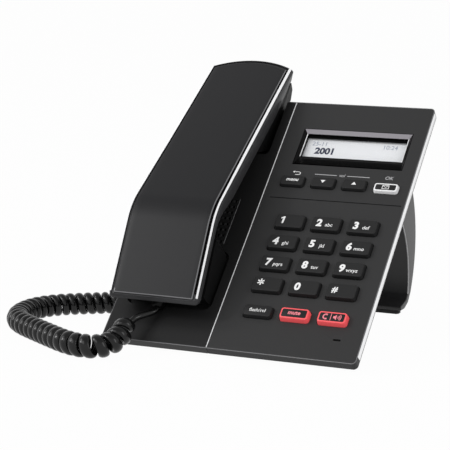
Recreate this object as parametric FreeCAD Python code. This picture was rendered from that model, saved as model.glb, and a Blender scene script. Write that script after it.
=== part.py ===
"""Desk IP phone: sloped base with cradle and keypad, rear stand, handset and curly cord (millimetres)."""
import FreeCAD, Part
import math
import os

Vec = FreeCAD.Vector

# Overall base: a slab whose face is tilted back from the table
BASE_W = 150.0
FACE_LEN = 177.5
TILT = 42.82
FRONT_Z = 6.0
BACK_REACH = 169.3
FRONT_ROUND_BACK = 0.33
FRONT_Y = -(BACK_REACH + FRONT_ROUND_BACK) / 2
SEAM_U = -10.9
SEAM_GAP = 0.3
GROOVE = (-6.0, 73.0, 105.2, 105.8)
GROOVE_DEPTH = 0.6

# Moulded shells
PANEL_T = 2.2
RIM_H = 5.5
RIM_T = 2.0
WALL = 2.2
COVER_H = 18.0
COVER_INSET = 0.5
SIDE_DRAFT = 10.5
REAR_DRAFT = 9.0
CORNER_R = 2.5

# Keys: grid places on the face, sizes at the foot of each cap
COLUMNS = (12.1, 33.85, 55.6)
ROWS = (88.0, 73.3, 58.6, 43.9)
FUNCTION_V = 25.5
NAV_V = 117.5
NAV_U = (4.6, 23.35, 42.1, 60.85)
KEY_W, KEY_D, KEY_H = 17.5, 10.0, 2.5
NAV_W, NAV_D, NAV_H = 14.5, 7.6, 2.0
FRAME_W, FRAME_D, FRAME_H = 18.4, 10.4, 3.2
KEY_TAPER = 0.55
KEY_R = 1.7
KEY_GAP = 0.35
FLANGE_TOP = -2.5
FLANGE_T = 1.2
FLANGE_OUT = 0.95
STEM_R = 2.0
STEM_END = -5.9
FRAME_RIM = 1.5
INLAY_SINK = 0.5

# Display
BEZEL = (0.0, 67.0, 130.5, 157.7)
GLASS = (2.6, 64.4, 137.8, 153.2)
BEZEL_DEPTH = 3.0
WINDOW_T = 1.2

# Hands-free microphone
MIC = (61.0, 13.7)
MIC_SLOT = (4.5, 1.2)

# Board and rubber mat
BOARD_TOP = -8.2
BOARD_T = 1.6
BOARD = (-8.0, 66.5, 20.0, 156.0)
MAT_T = 0.6
COLLAR_R, COLLAR_BORE, COLLAR_TOP = 3.7, 2.5, -5.5
BOARD_SCREWS = ((-5.8, 26.0), (-5.8, 150.0), (64.2, 127.5), (64.2, 36.3))

HOUSING_SCREWS = ((36.0, 15.0), (57.0, 163.5), (-36.0, 15.0), (-62.0, 126.0))

# Cradle
HANDSET_U = -43.0
MOUTH_BAY = (-69.2, -16.8, 24.0, 64.5)
MOUTH_DEPTH = 3.0
EAR_BAY_HALF_W = 26.2
EAR_BAY_V = 136.5
EAR_DEPTH = 8.0
EAR_BAY_R = 3.0
GRILLE_V = (71.5, 100.5)
GRILLE_SLOTS = 8
GRILLE_HALF_W = 19.0
SLOT_H = 1.7
SPEAKER_R, SPEAKER_H = 18.0, 9.0
EAR_RIB_U, EAR_RIB_W, EAR_RIB_H = 16.0, 2.4, 1.5
EAR_RIB_V = (150.0, 172.0)

# Hook switch in the ear bay
HOOK_V = 146.0
HOOK_R = 3.0
HOOK_TOP = -EAR_DEPTH + 1.6
HOOK_SHOULDER = -12.4
HOOK_STEM_R = 2.0
HOOK_FOOT = (-14.9, -14.4, 4.2)
SWITCH_W, SWITCH_D = 7.8, 10.0
SWITCH_OFF = 9.1
LEVER_L, LEVER_W, LEVER_T = 2.8, 3.0, 0.5

# Connectors: the bay in the back, the block beside it and the sockets
BAY = (22.0, 50.0, 56.0, 110.0)
BAY_TOP = -12.0
BULGE = (0.0, 22.0, 56.0, 110.0)
BULGE_H = 26.0
JACK_V = (67.6, 85.0)
JACK_W, JACK_H, JACK_L = 16.0, 13.5, 16.0
PORT_W, PORT_H, PORT_L = 12.0, 9.2, 13.0
PORT_MID = -17.2
POWER_V = 102.0
POWER_MID = -15.6
CORD_JACK = (-73.0, -58.0, 101.0, 114.0, -17.6, -6.4)
POWER_SOCKET_R, POWER_PIN_R = 3.15, 1.0

# Handset, drawn on its own centre plane: v along the face, h above it
HS_HALF_W = 25.5
HS_LOW = (20.0, 15.5)
HS_BEND = (70.0, 32.2)
HS_BEND_R = 58.0
HS_HIGH = (201.0, 8.6)
HS_END_R = 62.0
HS_END_V = 200.5
HS_COVER_T = 9.2
HS_EDGE_R = 2.0
HS_SKIN = 2.4
TRIM_DROP = 3.2
TRIM_H = 1.4
TRIM_T = 0.9
FACE_INSET = 1.0
MOUTH_FLOOR = -2.6
EAR_FLOOR = -6.0
UNDERSIDE = ((28.5, MOUTH_FLOOR + 1.5), (30.5, MOUTH_FLOOR), (57.0, MOUTH_FLOOR), (61.0, 1.0), (67.5, 11.5),
             (75.0, 14.6), (122.0, 7.5), (134.0, 3.4), (140.0, -2.2), (145.0, EAR_FLOOR),
             (184.0, EAR_FLOOR), (190.0, -3.2))
HOLLOW_LOW = ((33.0, MOUTH_FLOOR + HS_SKIN), (55.5, MOUTH_FLOOR + HS_SKIN), (66.0, 16.0), (75.0, 17.2),
              (122.0, 9.6), (136.0, 3.0), (144.0, EAR_FLOOR + HS_SKIN), (182.0, EAR_FLOOR + HS_SKIN))
EAR_MID = 163.0
HS_SCREW_U = (HANDSET_U - 15, HANDSET_U + 15)
HS_SCREW_V = 114.0
HS_SCREW_SEAT = 10.0
MOUTH_MID = 48.0
HS_JACK = (-52.5, -40.5, 27.0, 40.0, -0.8, 7.9)
HS_PLUG_TAIL = 20.8
EAR_HOLE_R, EAR_HOLE_RING = 1.1, 5.0
MOUTH_HOLE_R, MOUTH_HOLE_STEP = 0.9, 4.0
TAIL_W, TAIL_T = 5.2, 4.8

# Bright strips let into the sides of the base
STRIP_T = 0.8
STRIP_V = (6.0, 174.5)
STRIP_DROP = (1.2, 4.6)

# Stand: a crescent between two arcs, given from the front edge of the face
STAND_HALF_W = 52.0
STAND_REAR = (101.8, 36.0, 67.5)
STAND_FRONT = (101.0, 13.0, 55.6)
STAND_WALL = 2.5
STAND_SOLE = -3.7
STAND_TOE = (143.0, 150.5)
STAND_KNEE = 4.0
PAD_W = 30.0
FRONT_FOOT_X, FRONT_FOOT_Y, FRONT_FOOT_W, FRONT_FOOT_D = 58.0, 12.5, 22.0, 11.0

# Curly cord
CORD_D = 3.6
COIL_R = 4.6
COIL_PITCH = 6.0
COIL_RAMP = 1.25
COIL_SPAN = (15.0, 80.0)
CORD_ROUTE = (
    (-46.5, 12.624, 16.538), (-46.5, 7.269, 11.576), (-50.3, 2.4, 9.6), (-55.0, -2.0, 8.6),
    (-58.6, -6.6, 5.6), (-62.0, -14.4, 1.9), (-68.0, -21.0, 0.6), (-77.4, -24.0, 0.5),
    (-87.6, -20.6, 0.5), (-98.0, -13.2, 0.5), (-109.0, -5.0, 0.5), (-120.0, 3.0, 0.5),
    (-131.0, 10.8, 0.5), (-141.5, 18.4, 0.5), (-149.8, 27.2, 0.5), (-153.0, 38.0, 0.5),
    (-149.0, 48.8, 0.5), (-140.0, 56.4, 0.5), (-128.5, 62.0, 0.5), (-116.5, 67.4, 0.5),
    (-105.0, 72.4, 0.6), (-95.0, 77.4, 3.6), (-88.6, 82.4, 12.0), (-86.8, 86.0, 25.0),
    (-87.8, 87.0, 39.0), (-89.4, 87.0, 52.0), (-88.4, 87.02, 64.25), (-73.8, 87.02, 64.25))
PLUG_W, PLUG_T, PLUG_L = 7.6, 6.4, 10.5
JACK_CLEAR = 0.3

FACE = FreeCAD.Placement(Vec(0, FRONT_Y, FRONT_Z), FreeCAD.Rotation(Vec(1, 0, 0), TILT))
NODES = {}


def box(u0, u1, v0, v1, h0, h1):
    """Block between two corners."""
    return Part.makeBox(u1 - u0, v1 - v0, h1 - h0, Vec(u0, v0, h0))


def rounded_wire(u0, u1, v0, v1, h, r):
    """Rectangle with rounded corners, flat at height h."""
    k = r * (1 - math.sqrt(0.5))
    edges = [
        Part.LineSegment(Vec(u0 + r, v0, h), Vec(u1 - r, v0, h)),
        Part.Arc(Vec(u1 - r, v0, h), Vec(u1 - k, v0 + k, h), Vec(u1, v0 + r, h)),
        Part.LineSegment(Vec(u1, v0 + r, h), Vec(u1, v1 - r, h)),
        Part.Arc(Vec(u1, v1 - r, h), Vec(u1 - k, v1 - k, h), Vec(u1 - r, v1, h)),
        Part.LineSegment(Vec(u1 - r, v1, h), Vec(u0 + r, v1, h)),
        Part.Arc(Vec(u0 + r, v1, h), Vec(u0 + k, v1 - k, h), Vec(u0, v1 - r, h)),
        Part.LineSegment(Vec(u0, v1 - r, h), Vec(u0, v0 + r, h)),
        Part.Arc(Vec(u0, v0 + r, h), Vec(u0 + k, v0 + k, h), Vec(u0 + r, v0, h))]
    return Part.Wire([edge.toShape() for edge in edges])


def plate(u0, u1, v0, v1, h0, h1, r):
    """Plate with rounded corners."""
    return Part.Face(rounded_wire(u0, u1, v0, v1, h0, r)).extrude(Vec(0, 0, h1 - h0))


def taper(low, high, h0, h1, r0, r1):
    """Block that changes from one rounded rectangle to another."""
    return Part.makeLoft([rounded_wire(*low, h0, r0), rounded_wire(*high, h1, r1)], True, True)


def around(u, v, w, d, grow=0.0):
    """Bounds of a rectangle about a centre."""
    return u - w / 2 - grow, u + w / 2 + grow, v - d / 2 - grow, v + d / 2 + grow


def inset(bounds, by):
    """Bounds drawn in on all four sides."""
    return bounds[0] + by, bounds[1] - by, bounds[2] + by, bounds[3] - by


def rod(u, v, h0, h1, r):
    """Round bar standing on the face."""
    return Part.makeCylinder(r, h1 - h0, Vec(u, v, h0))


def fuse(shapes):
    """One solid from several that touch or overlap."""
    return shapes[0].multiFuse(shapes[1:]).removeSplitter() if len(shapes) > 1 else shapes[0]


def lies_at(edge, h):
    """Whether an edge lies flat at height h."""
    return abs(edge.BoundBox.ZMin - h) < 1e-6 and abs(edge.BoundBox.ZMax - h) < 1e-6


def keep(name, shape, placed=FACE):
    """File a piece under its name, moved from the face's plane to its place."""
    piece = shape.copy()
    if placed:
        piece.Placement = placed.multiply(piece.Placement)
    NODES[name] = piece


def from_front(y, z):
    """Point of the side view, given from the front edge of the face."""
    return Vec(0, y + FRONT_Y, z + FRONT_Z)


# Base panels

def key_places():
    """Every key: name, place, size of the cap, and whether it is a translucent frame."""
    names = ("1", "2", "3", "4", "5", "6", "7", "8", "9", "star", "0", "hash")
    places = []
    for index, name in enumerate(names):
        places.append((name, COLUMNS[index % 3], ROWS[index // 3], (KEY_W, KEY_D, KEY_H), False))
    for name, u in zip(("menu", "down", "up"), NAV_U):
        places.append((name, u, NAV_V, (NAV_W, NAV_D, NAV_H), False))
    places.append(("ok", NAV_U[3], NAV_V, (NAV_W, NAV_D, NAV_H), True))
    places.append(("flash", COLUMNS[0], FUNCTION_V, (KEY_W, KEY_D, KEY_H), False))
    for name, u in zip(("mute", "speaker"), COLUMNS[1:]):
        places.append((name, u, FUNCTION_V, (FRAME_W, FRAME_D, FRAME_H), True))
    return places


def panel_blank(u0, u1):
    """Plate with a skirt on the outer edges; the seam side is closed by the other panel."""
    outer = plate(-BASE_W / 2, BASE_W / 2, 0, FACE_LEN, -RIM_H, 0, CORNER_R)
    inner = box(-BASE_W / 2 + RIM_T, BASE_W / 2 - RIM_T, RIM_T, FACE_LEN - RIM_T, -RIM_H, -PANEL_T)
    return outer.cut(inner).common(box(u0, u1, -1, FACE_LEN + 1, -RIM_H - 1, 1))


def soften_front(panel):
    """Round the long front and side edges of the face a little."""
    rims = []
    for edge in panel.Edges:
        ends = [vertex.Point for vertex in edge.Vertexes]
        outside = all(abs(abs(p.x) - BASE_W / 2) < CORNER_R + 0.01 or p.y < CORNER_R + 0.01
                      or p.y > FACE_LEN - CORNER_R - 0.01 for p in ends)
        along_seam = abs(edge.BoundBox.XMax - edge.BoundBox.XMin) < 1e-6 and abs(ends[0].x) < BASE_W / 4
        if lies_at(edge, 0) and outside and not along_seam:
            rims.append(edge)
    return panel.makeFillet(0.8, rims)


def make_key_panel():
    panel = soften_front(panel_blank(SEAM_U + SEAM_GAP / 2, BASE_W / 2 + 1))
    cuts = []
    for _, u, v, size, _ in key_places():
        cuts.append(plate(*around(u, v, size[0], size[1], KEY_GAP), -PANEL_T - 1, 1, KEY_R + KEY_GAP))
    cuts.append(box(*BEZEL, -PANEL_T - 1, 1))
    cuts.append(box(*GROOVE, -GROOVE_DEPTH, 1))
    cuts.append(plate(*around(*MIC, *MIC_SLOT), -PANEL_T - 1, 1, 0.55))
    panel = panel.cut(Part.makeCompound(cuts))
    bosses = [rod(u, v, -COVER_H + 6, -PANEL_T, 3.0) for u, v in HOUSING_SCREWS if u > 0]
    panel = fuse([panel] + bosses)
    pilots = [rod(u, v, -COVER_H + 5, -PANEL_T - 1.8, 1.6) for u, v in HOUSING_SCREWS if u > 0]
    pilots.append(side_strip(1))
    keep("key_panel", panel.cut(Part.makeCompound(pilots)))


def ear_bay(grow, depth):
    """Hollow for the ear end, open at the top edge of the face, with rounded inner corners."""
    half = EAR_BAY_HALF_W + grow
    bounds = (HANDSET_U - half, HANDSET_U + half, EAR_BAY_V - grow, FACE_LEN + 20)
    return plate(*bounds, -depth, 1, EAR_BAY_R)


def make_cradle_panel():
    blank = soften_front(panel_blank(-BASE_W / 2 - 1, SEAM_U - SEAM_GAP / 2))
    within = box(-BASE_W / 2, SEAM_U - SEAM_GAP / 2, 0, FACE_LEN, -COVER_H, 0)
    ear_pan = ear_bay(WALL, EAR_DEPTH + WALL).common(within)
    mouth_pan = plate(*inset(MOUTH_BAY, -WALL), -MOUTH_DEPTH - WALL, -0.5, 6.0)
    bosses = [rod(u, v, -COVER_H + 6, -PANEL_T, 3.0) for u, v in HOUSING_SCREWS if u < 0]
    panel = fuse([blank, ear_pan, mouth_pan] + bosses)
    cuts = [ear_bay(0, EAR_DEPTH)]
    cuts.append(taper(inset(MOUTH_BAY, 1.2), MOUTH_BAY, -MOUTH_DEPTH, 0.01, 4.0, 5.0))
    step = (GRILLE_V[1] - GRILLE_V[0]) / (GRILLE_SLOTS - 1)
    for index in range(GRILLE_SLOTS):
        v = GRILLE_V[0] + index * step
        cuts.append(plate(*around(HANDSET_U, v, 2 * GRILLE_HALF_W, SLOT_H), -PANEL_T - 1, 1, 0.8))
    cuts.append(rod(HANDSET_U, HOOK_V, -COVER_H, 0, HOOK_R + 0.5))
    cuts.append(side_strip(-1))
    cuts += [rod(u, v, -COVER_H + 5, -PANEL_T - 1.8, 1.6) for u, v in HOUSING_SCREWS if u < 0]
    panel = panel.cut(Part.makeCompound(cuts))
    ribs = []
    for side in (-1, 1):
        u = HANDSET_U + side * EAR_RIB_U
        ribs.append(box(u - EAR_RIB_W / 2, u + EAR_RIB_W / 2, *EAR_RIB_V,
                        -EAR_DEPTH - 0.5, -EAR_DEPTH + EAR_RIB_H))
    keep("cradle_panel", fuse([panel] + ribs))


# Hook plunger, pressed down while the handset rests on it


def make_hook():
    cap = rod(HANDSET_U, HOOK_V, HOOK_SHOULDER, HOOK_TOP, HOOK_R)
    rim = [edge for edge in cap.Edges if lies_at(edge, HOOK_TOP)]
    cap = cap.makeFillet(1.0, rim)
    foot = rod(HANDSET_U, HOOK_V, *HOOK_FOOT)
    stem = rod(HANDSET_U, HOOK_V, HOOK_FOOT[0], HOOK_SHOULDER + 0.2, HOOK_STEM_R)
    keep("hook_plunger", fuse([cap, stem, foot]))
    floor = -COVER_H + WALL
    switch = around(HANDSET_U - SWITCH_OFF, HOOK_V, SWITCH_W, SWITCH_D)
    body = box(*switch, floor, -EAR_DEPTH - WALL - 0.6)
    lever = box(switch[1], switch[1] + LEVER_L, HOOK_V - LEVER_W / 2, HOOK_V + LEVER_W / 2,
                floor, floor + LEVER_T)
    keep("hook_switch", fuse([body, lever]))


# Rear cover: drafted tray with a connector bay

def tray(by, top, bottom):
    """Drafted tray block; its front slope lies level with the table."""
    front_run = (COVER_H - RIM_H) / math.tan(math.radians(TILT))
    low = (-BASE_W / 2 + COVER_INSET + SIDE_DRAFT, BASE_W / 2 - COVER_INSET - SIDE_DRAFT,
           COVER_INSET + front_run, FACE_LEN - COVER_INSET - REAR_DRAFT)
    high = (-BASE_W / 2 + COVER_INSET, BASE_W / 2 - COVER_INSET, COVER_INSET, FACE_LEN - COVER_INSET)
    return taper(inset(low, by), inset(high, by), bottom, top, 2.5, 2.5)


def make_rear_cover():
    outer = fuse([tray(0, -RIM_H, -COVER_H), plate(*BULGE, -BULGE_H, -COVER_H + 1, 2.0)])
    outer = outer.cut(box(*BAY, -COVER_H - 20, BAY_TOP))
    block = plate(*inset(BULGE, WALL), -BULGE_H + WALL, -RIM_H, 1.0)
    hollow = fuse([tray(WALL, -RIM_H, -COVER_H + WALL), block])
    hollow = hollow.cut(box(*inset(BAY, -WALL), -COVER_H - 20, BAY_TOP + WALL))
    cover = outer.cut(hollow)
    posts = [box(SEAM_U - 1.5, SEAM_U + 1.5, 10, 165, -COVER_H + 1, -PANEL_T)]
    posts += [rod(u, v, -COVER_H + 1, BOARD_TOP - BOARD_T, 3.0) for u, v in BOARD_SCREWS]
    posts += [rod(u, v, -COVER_H + 0.5, -COVER_H + 6, 4.5).common(tray(0, -RIM_H, -COVER_H))
              for u, v in HOUSING_SCREWS]
    cover = fuse([cover] + posts)
    cuts = [rod(u, v, -COVER_H + 2.5, BOARD_TOP, 1.2) for u, v in BOARD_SCREWS]
    cuts += [rod(u, v, -COVER_H - 3, -COVER_H + 4, 3.1) for u, v in HOUSING_SCREWS]
    cuts += [rod(u, v, -COVER_H - 3, -COVER_H + 7, 1.7) for u, v in HOUSING_SCREWS]
    for v in JACK_V:
        cuts.append(box(BULGE[1] - WALL - 1, BULGE[1] + 1, v - PORT_W / 2, v + PORT_W / 2,
                        PORT_MID - PORT_H / 2, PORT_MID + PORT_H / 2))
    cuts.append(Part.makeCylinder(POWER_SOCKET_R + 0.45, WALL + 2, Vec(BULGE[1] - WALL - 1, POWER_V, POWER_MID),
                                  Vec(1, 0, 0)))
    cuts.append(box(*CORD_JACK))
    cuts.append(ear_bay(WALL, EAR_DEPTH + WALL))
    keep("rear_cover", cover.cut(Part.makeCompound(cuts)))


def make_connectors():
    jacks = []
    face_u = BULGE[1] - WALL
    for v in JACK_V:
        body = box(face_u - JACK_L, face_u, v - JACK_W / 2, v + JACK_W / 2,
                   BOARD_TOP - BOARD_T - JACK_H, BOARD_TOP - BOARD_T)
        port = box(face_u - PORT_L, face_u + 1, v - PORT_W / 2, v + PORT_W / 2,
                   PORT_MID - PORT_H / 2, PORT_MID + PORT_H / 2)
        jacks.append(body.cut(port))
    keep("lan_jacks", Part.makeCompound(jacks))
    body = box(face_u - 13, face_u, POWER_V - 4.5, POWER_V + 4.5, POWER_MID - 5.2, BOARD_TOP - BOARD_T)
    hole = Part.makeCylinder(POWER_SOCKET_R, 10.5, Vec(face_u - 9.5, POWER_V, POWER_MID), Vec(1, 0, 0))
    pin = Part.makeCylinder(POWER_PIN_R, 10.0, Vec(face_u - 10.0, POWER_V, POWER_MID), Vec(1, 0, 0))
    keep("power_jack", body.cut(hole).fuse(pin))
    mid_v = (CORD_JACK[2] + CORD_JACK[3]) / 2
    mid_h = (CORD_JACK[4] + CORD_JACK[5]) / 2
    grow = JACK_CLEAR / 2
    socket = box(CORD_JACK[0] - 1, CORD_JACK[0] + 12.0, mid_v - PLUG_W / 2 - grow, mid_v + PLUG_W / 2 + grow,
                 mid_h - PLUG_T / 2 - grow, mid_h + PLUG_T / 2 + grow)
    keep("base_cord_jack", box(*CORD_JACK).cut(socket))
    plug = box(CORD_JACK[0] + 12.0 - PLUG_L, CORD_JACK[0] + 12.0, mid_v - PLUG_W / 2, mid_v + PLUG_W / 2,
               mid_h - PLUG_T / 2, mid_h + PLUG_T / 2)
    tail = box(CORD_JACK[0] - 0.8, CORD_JACK[0] + 2.0, mid_v - TAIL_W / 2, mid_v + TAIL_W / 2,
               mid_h - TAIL_T / 2, mid_h + TAIL_T / 2)
    keep("base_cord_plug", fuse([plug, tail]))


# Display, board and rubber mat

def make_display():
    flange = box(*inset(BEZEL, -1.2), -BEZEL_DEPTH, -PANEL_T)
    frame = fuse([box(*inset(BEZEL, 0.05), -BEZEL_DEPTH, 0), flange])
    funnel = taper(GLASS, inset(BEZEL, 0.8), -BEZEL_DEPTH + 1.0, 0.01, 0.4, 0.4)
    sight = box(*GLASS, -BEZEL_DEPTH - 1, 0)
    keep("display_bezel", frame.cut(funnel).cut(sight))
    keep("display_window", box(*inset(GLASS, -0.9), -BEZEL_DEPTH - WINDOW_T, -BEZEL_DEPTH))
    top = -BEZEL_DEPTH - WINDOW_T
    keep("lcd_module", box(0.6, 66.4, 134.0, 155.5, BOARD_TOP, top))
    ribbon = box(20, 46, 131.8, 134.0, BOARD_TOP, BOARD_TOP + 2.0)
    keep("lcd_ribbon", ribbon)


def make_board():
    board = plate(*BOARD, BOARD_TOP - BOARD_T, BOARD_TOP, 2.0)
    holes = [rod(u, v, BOARD_TOP - 3, BOARD_TOP + 1, 1.5) for u, v in BOARD_SCREWS]
    keep("main_board", board.cut(Part.makeCompound(holes)))
    screws = []
    for u, v in BOARD_SCREWS:
        head = rod(u, v, BOARD_TOP, BOARD_TOP + 1.5, 2.5)
        screws.append(head.fuse(rod(u, v, -COVER_H + 3.0, BOARD_TOP, 1.1)))
    keep("board_screws", Part.makeCompound(screws))
    sheet = plate(-3.0, 66.0, 20.5, 123.0, BOARD_TOP, BOARD_TOP + MAT_T, 2.0)
    places = [(u, v) for _, u, v, _, _ in key_places()]
    mat = fuse([sheet] + [rod(u, v, BOARD_TOP, COLLAR_TOP, COLLAR_R) for u, v in places])
    bores = [rod(u, v, BOARD_TOP + MAT_T, COLLAR_TOP + 1, COLLAR_BORE) for u, v in places]
    bores.append(rod(*BOARD_SCREWS[3], BOARD_TOP - 1, BOARD_TOP + 3, 3.2))
    keep("keypad_mat", mat.cut(Part.makeCompound(bores)))
    lamps = [box(u - 8.2, u - 6.6, v - 0.8, v + 0.8, BOARD_TOP + MAT_T, BOARD_TOP + MAT_T + 1.0)
             for name, u, v, _, frame in key_places() if frame]
    keep("indicator_leds", Part.makeCompound(lamps))


# Keys

def make_keys():
    for name, u, v, (w, d, high), is_frame in key_places():
        foot = around(u, v, w, d)
        crown = inset(foot, KEY_TAPER)
        body = fuse([plate(*foot, FLANGE_TOP, 0.0, KEY_R), taper(foot, crown, 0.0, high, KEY_R, KEY_R - 0.3),
                     plate(*inset(foot, -FLANGE_OUT), FLANGE_TOP - FLANGE_T, FLANGE_TOP, KEY_R),
                     rod(u, v, STEM_END, FLANGE_TOP - FLANGE_T, STEM_R)])
        rim = [edge for edge in body.Edges if lies_at(edge, high)]
        body = body.makeFillet(0.5, rim)
        if is_frame:
            seat = inset(crown, FRAME_RIM)
            body = body.cut(plate(*seat, -1.0, high + 1, KEY_R - 0.6))
            cap = plate(*seat, -1.0, high - INLAY_SINK, KEY_R - 0.6)
            keep(name + "_key_cap", cap)
        keep("key_" + name, body)


# Loudspeaker and hands-free microphone

def make_sound():
    speaker_v = sum(GRILLE_V) / 2
    behind = Vec(HANDSET_U, speaker_v, -PANEL_T - SPEAKER_H)
    basket = Part.makeCone(SPEAKER_R - 6, SPEAKER_R, SPEAKER_H - 3, behind)
    rim = rod(HANDSET_U, speaker_v, -PANEL_T - 3, -PANEL_T, SPEAKER_R)
    cone = Part.makeCone(6, SPEAKER_R - 2.5, 3.5, Vec(HANDSET_U, speaker_v, -PANEL_T - 3.5))
    keep("loudspeaker", fuse([basket, rim]).cut(cone))
    boot = rod(*MIC, -PANEL_T - 5, -PANEL_T, 4.5).cut(rod(*MIC, -PANEL_T - 4, -PANEL_T + 1, 3.0))
    keep("microphone_boot", boot)
    keep("handsfree_microphone", rod(*MIC, -PANEL_T - 4, -PANEL_T - 1.0, 3.0))


# Side strips let into the skirts

def side_strip(side):
    """Bright strip along one side of the base."""
    outer = side * BASE_W / 2
    inner = side * (BASE_W / 2 - STRIP_T)
    return box(min(outer, inner), max(outer, inner), STRIP_V[0], STRIP_V[1], -STRIP_DROP[1], -STRIP_DROP[0])


# Stand, feet and screws

def arc_from(centre, z0, z1):
    """Arc of a circle in the side view between two heights."""
    cy, cz, r = centre
    points = []
    for z in (z0, (z0 + z1) / 2, z1):
        points.append(from_front(cy + math.sqrt(r * r - (z - cz) ** 2), z))
    return Part.Arc(*points).toShape()


def meets_cover(centre, lift):
    """Height where an arc of the stand meets the back of the cover."""
    cy, cz, r = centre
    tilt = math.radians(TILT)
    v = cy * math.cos(tilt) + cz * math.sin(tilt)
    h = -cy * math.sin(tilt) + cz * math.cos(tilt)
    v += math.sqrt(r * r - (-COVER_H + lift - h) ** 2)
    return v * math.sin(tilt) + (-COVER_H + lift) * math.cos(tilt)


def crescent(rear, front, low, lift, half_w):
    """Prism between the two arcs, from a level sole up to the cover's back."""
    rear_edge = arc_from(rear, low, meets_cover(rear, lift))
    front_edge = arc_from(front, low, meets_cover(front, lift))
    top = Part.LineSegment(rear_edge.Vertexes[1].Point, front_edge.Vertexes[1].Point).toShape()
    sole = Part.LineSegment(front_edge.Vertexes[0].Point, rear_edge.Vertexes[0].Point).toShape()
    wire = Part.Wire(Part.__sortEdges__([rear_edge, top, front_edge, sole]))
    face = Part.Face(wire)
    face.translate(Vec(-half_w, 0, 0))
    return face.extrude(Vec(2 * half_w, 0, 0))


def make_stand():
    outer = crescent(STAND_REAR, STAND_FRONT, STAND_KNEE, 0.0, STAND_HALF_W)
    y_front = STAND_FRONT[0] + math.sqrt(STAND_FRONT[2] ** 2 - (STAND_KNEE - STAND_FRONT[1]) ** 2)
    y_rear = STAND_REAR[0] + math.sqrt(STAND_REAR[2] ** 2 - (STAND_KNEE - STAND_REAR[1]) ** 2)
    toe = [(y_front, STAND_KNEE), (y_front - 3, 1.0), (STAND_TOE[0], -1.2), (STAND_TOE[0], STAND_SOLE),
           (STAND_TOE[1], STAND_SOLE), (y_rear - 4.5, -1.2), (y_rear, STAND_KNEE)]
    points = [from_front(y, z) for y, z in toe]
    face = Part.Face(Part.makePolygon(points + points[:1]))
    face.translate(Vec(-STAND_HALF_W, 0, 0))
    foot = face.extrude(Vec(2 * STAND_HALF_W, 0, 0))
    thin_rear = (STAND_REAR[0], STAND_REAR[1], STAND_REAR[2] - STAND_WALL)
    thin_front = (STAND_FRONT[0], STAND_FRONT[1], STAND_FRONT[2] + STAND_WALL)
    hollow = crescent(thin_rear, thin_front, 14.0, 1.0, STAND_HALF_W - STAND_WALL)
    stand = fuse([outer, foot]).cut(hollow)
    keep("desk_stand", stand, None)
    pads = []
    for side in (-1, 1):
        u = side * (STAND_HALF_W - PAD_W / 2 - 2)
        bounds = (u - PAD_W / 2, u + PAD_W / 2, STAND_TOE[0] + 0.6 + FRONT_Y, STAND_TOE[1] - 0.4 + FRONT_Y)
        pads.append(plate(*bounds, 0, STAND_SOLE + FRONT_Z, 2.0))
    keep("stand_feet", Part.makeCompound(pads), None)
    level = FRONT_Z + COVER_INSET * math.sin(math.radians(TILT)) - RIM_H * math.cos(math.radians(TILT))
    pads = []
    for side in (-1, 1):
        bounds = around(side * FRONT_FOOT_X, FRONT_Y + FRONT_FOOT_Y, FRONT_FOOT_W, FRONT_FOOT_D)
        pads.append(plate(*bounds, 0, level, 3.0))
    keep("front_feet", Part.makeCompound(pads), None)


def make_fixings():
    screws = []
    for u, v in HOUSING_SCREWS:
        head = rod(u, v, -COVER_H + 2.2, -COVER_H + 4, 2.8)
        screws.append(head.fuse(rod(u, v, -COVER_H + 4, -PANEL_T - 3.0, 1.5)))
    keep("housing_screws", Part.makeCompound(screws))
    keep("side_trims", Part.makeCompound([side_strip(-1), side_strip(1)]))


# Handset

def hs_line(drop, v_low, v_high):
    """Back of the handset in side view, lowered by drop: two runs and the arc that joins them."""
    lower = math.atan2(HS_BEND[1] - HS_LOW[1], HS_BEND[0] - HS_LOW[0])
    upper = math.atan2(HS_HIGH[1] - HS_BEND[1], HS_HIGH[0] - HS_BEND[0])
    half = (lower - upper) / 2
    mid = (lower + upper) / 2
    sink = drop / math.cos(half)
    bend = Vec(0, HS_BEND[0] + math.sin(mid) * sink, HS_BEND[1] - math.cos(mid) * sink)
    radius = HS_BEND_R - drop
    reach = radius * math.tan(half)
    a = bend - Vec(0, math.cos(lower), math.sin(lower)) * reach
    b = bend + Vec(0, math.cos(upper), math.sin(upper)) * reach
    crown = bend - Vec(0, -math.sin(mid), math.cos(mid)) * (radius / math.cos(half) - radius)
    start = a + Vec(0, math.cos(lower), math.sin(lower)) * ((v_low - a.y) / math.cos(lower))
    end = b + Vec(0, math.cos(upper), math.sin(upper)) * ((v_high - b.y) / math.cos(upper))
    return start, a, crown, b, end


def line_edges(points):
    """Edges of a lowered back line."""
    start, a, crown, b, end = points
    runs = [Part.LineSegment(start, a), Part.Arc(a, crown, b), Part.LineSegment(b, end)]
    return [run.toShape() for run in runs]


def side_prism(edges, half_w):
    """Closed side view stretched to both sides of the handset's centre plane."""
    face = Part.Face(Part.Wire(Part.__sortEdges__(edges)))
    face.translate(Vec(HANDSET_U - half_w, 0, 0))
    return face.extrude(Vec(2 * half_w, 0, 0))


def chain(points):
    """Straight edges through a list of (v, h) points."""
    at = [p if isinstance(p, FreeCAD.Vector) else Vec(0, p[0], p[1]) for p in points]
    return [Part.LineSegment(p, q).toShape() for p, q in zip(at, at[1:])]


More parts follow.
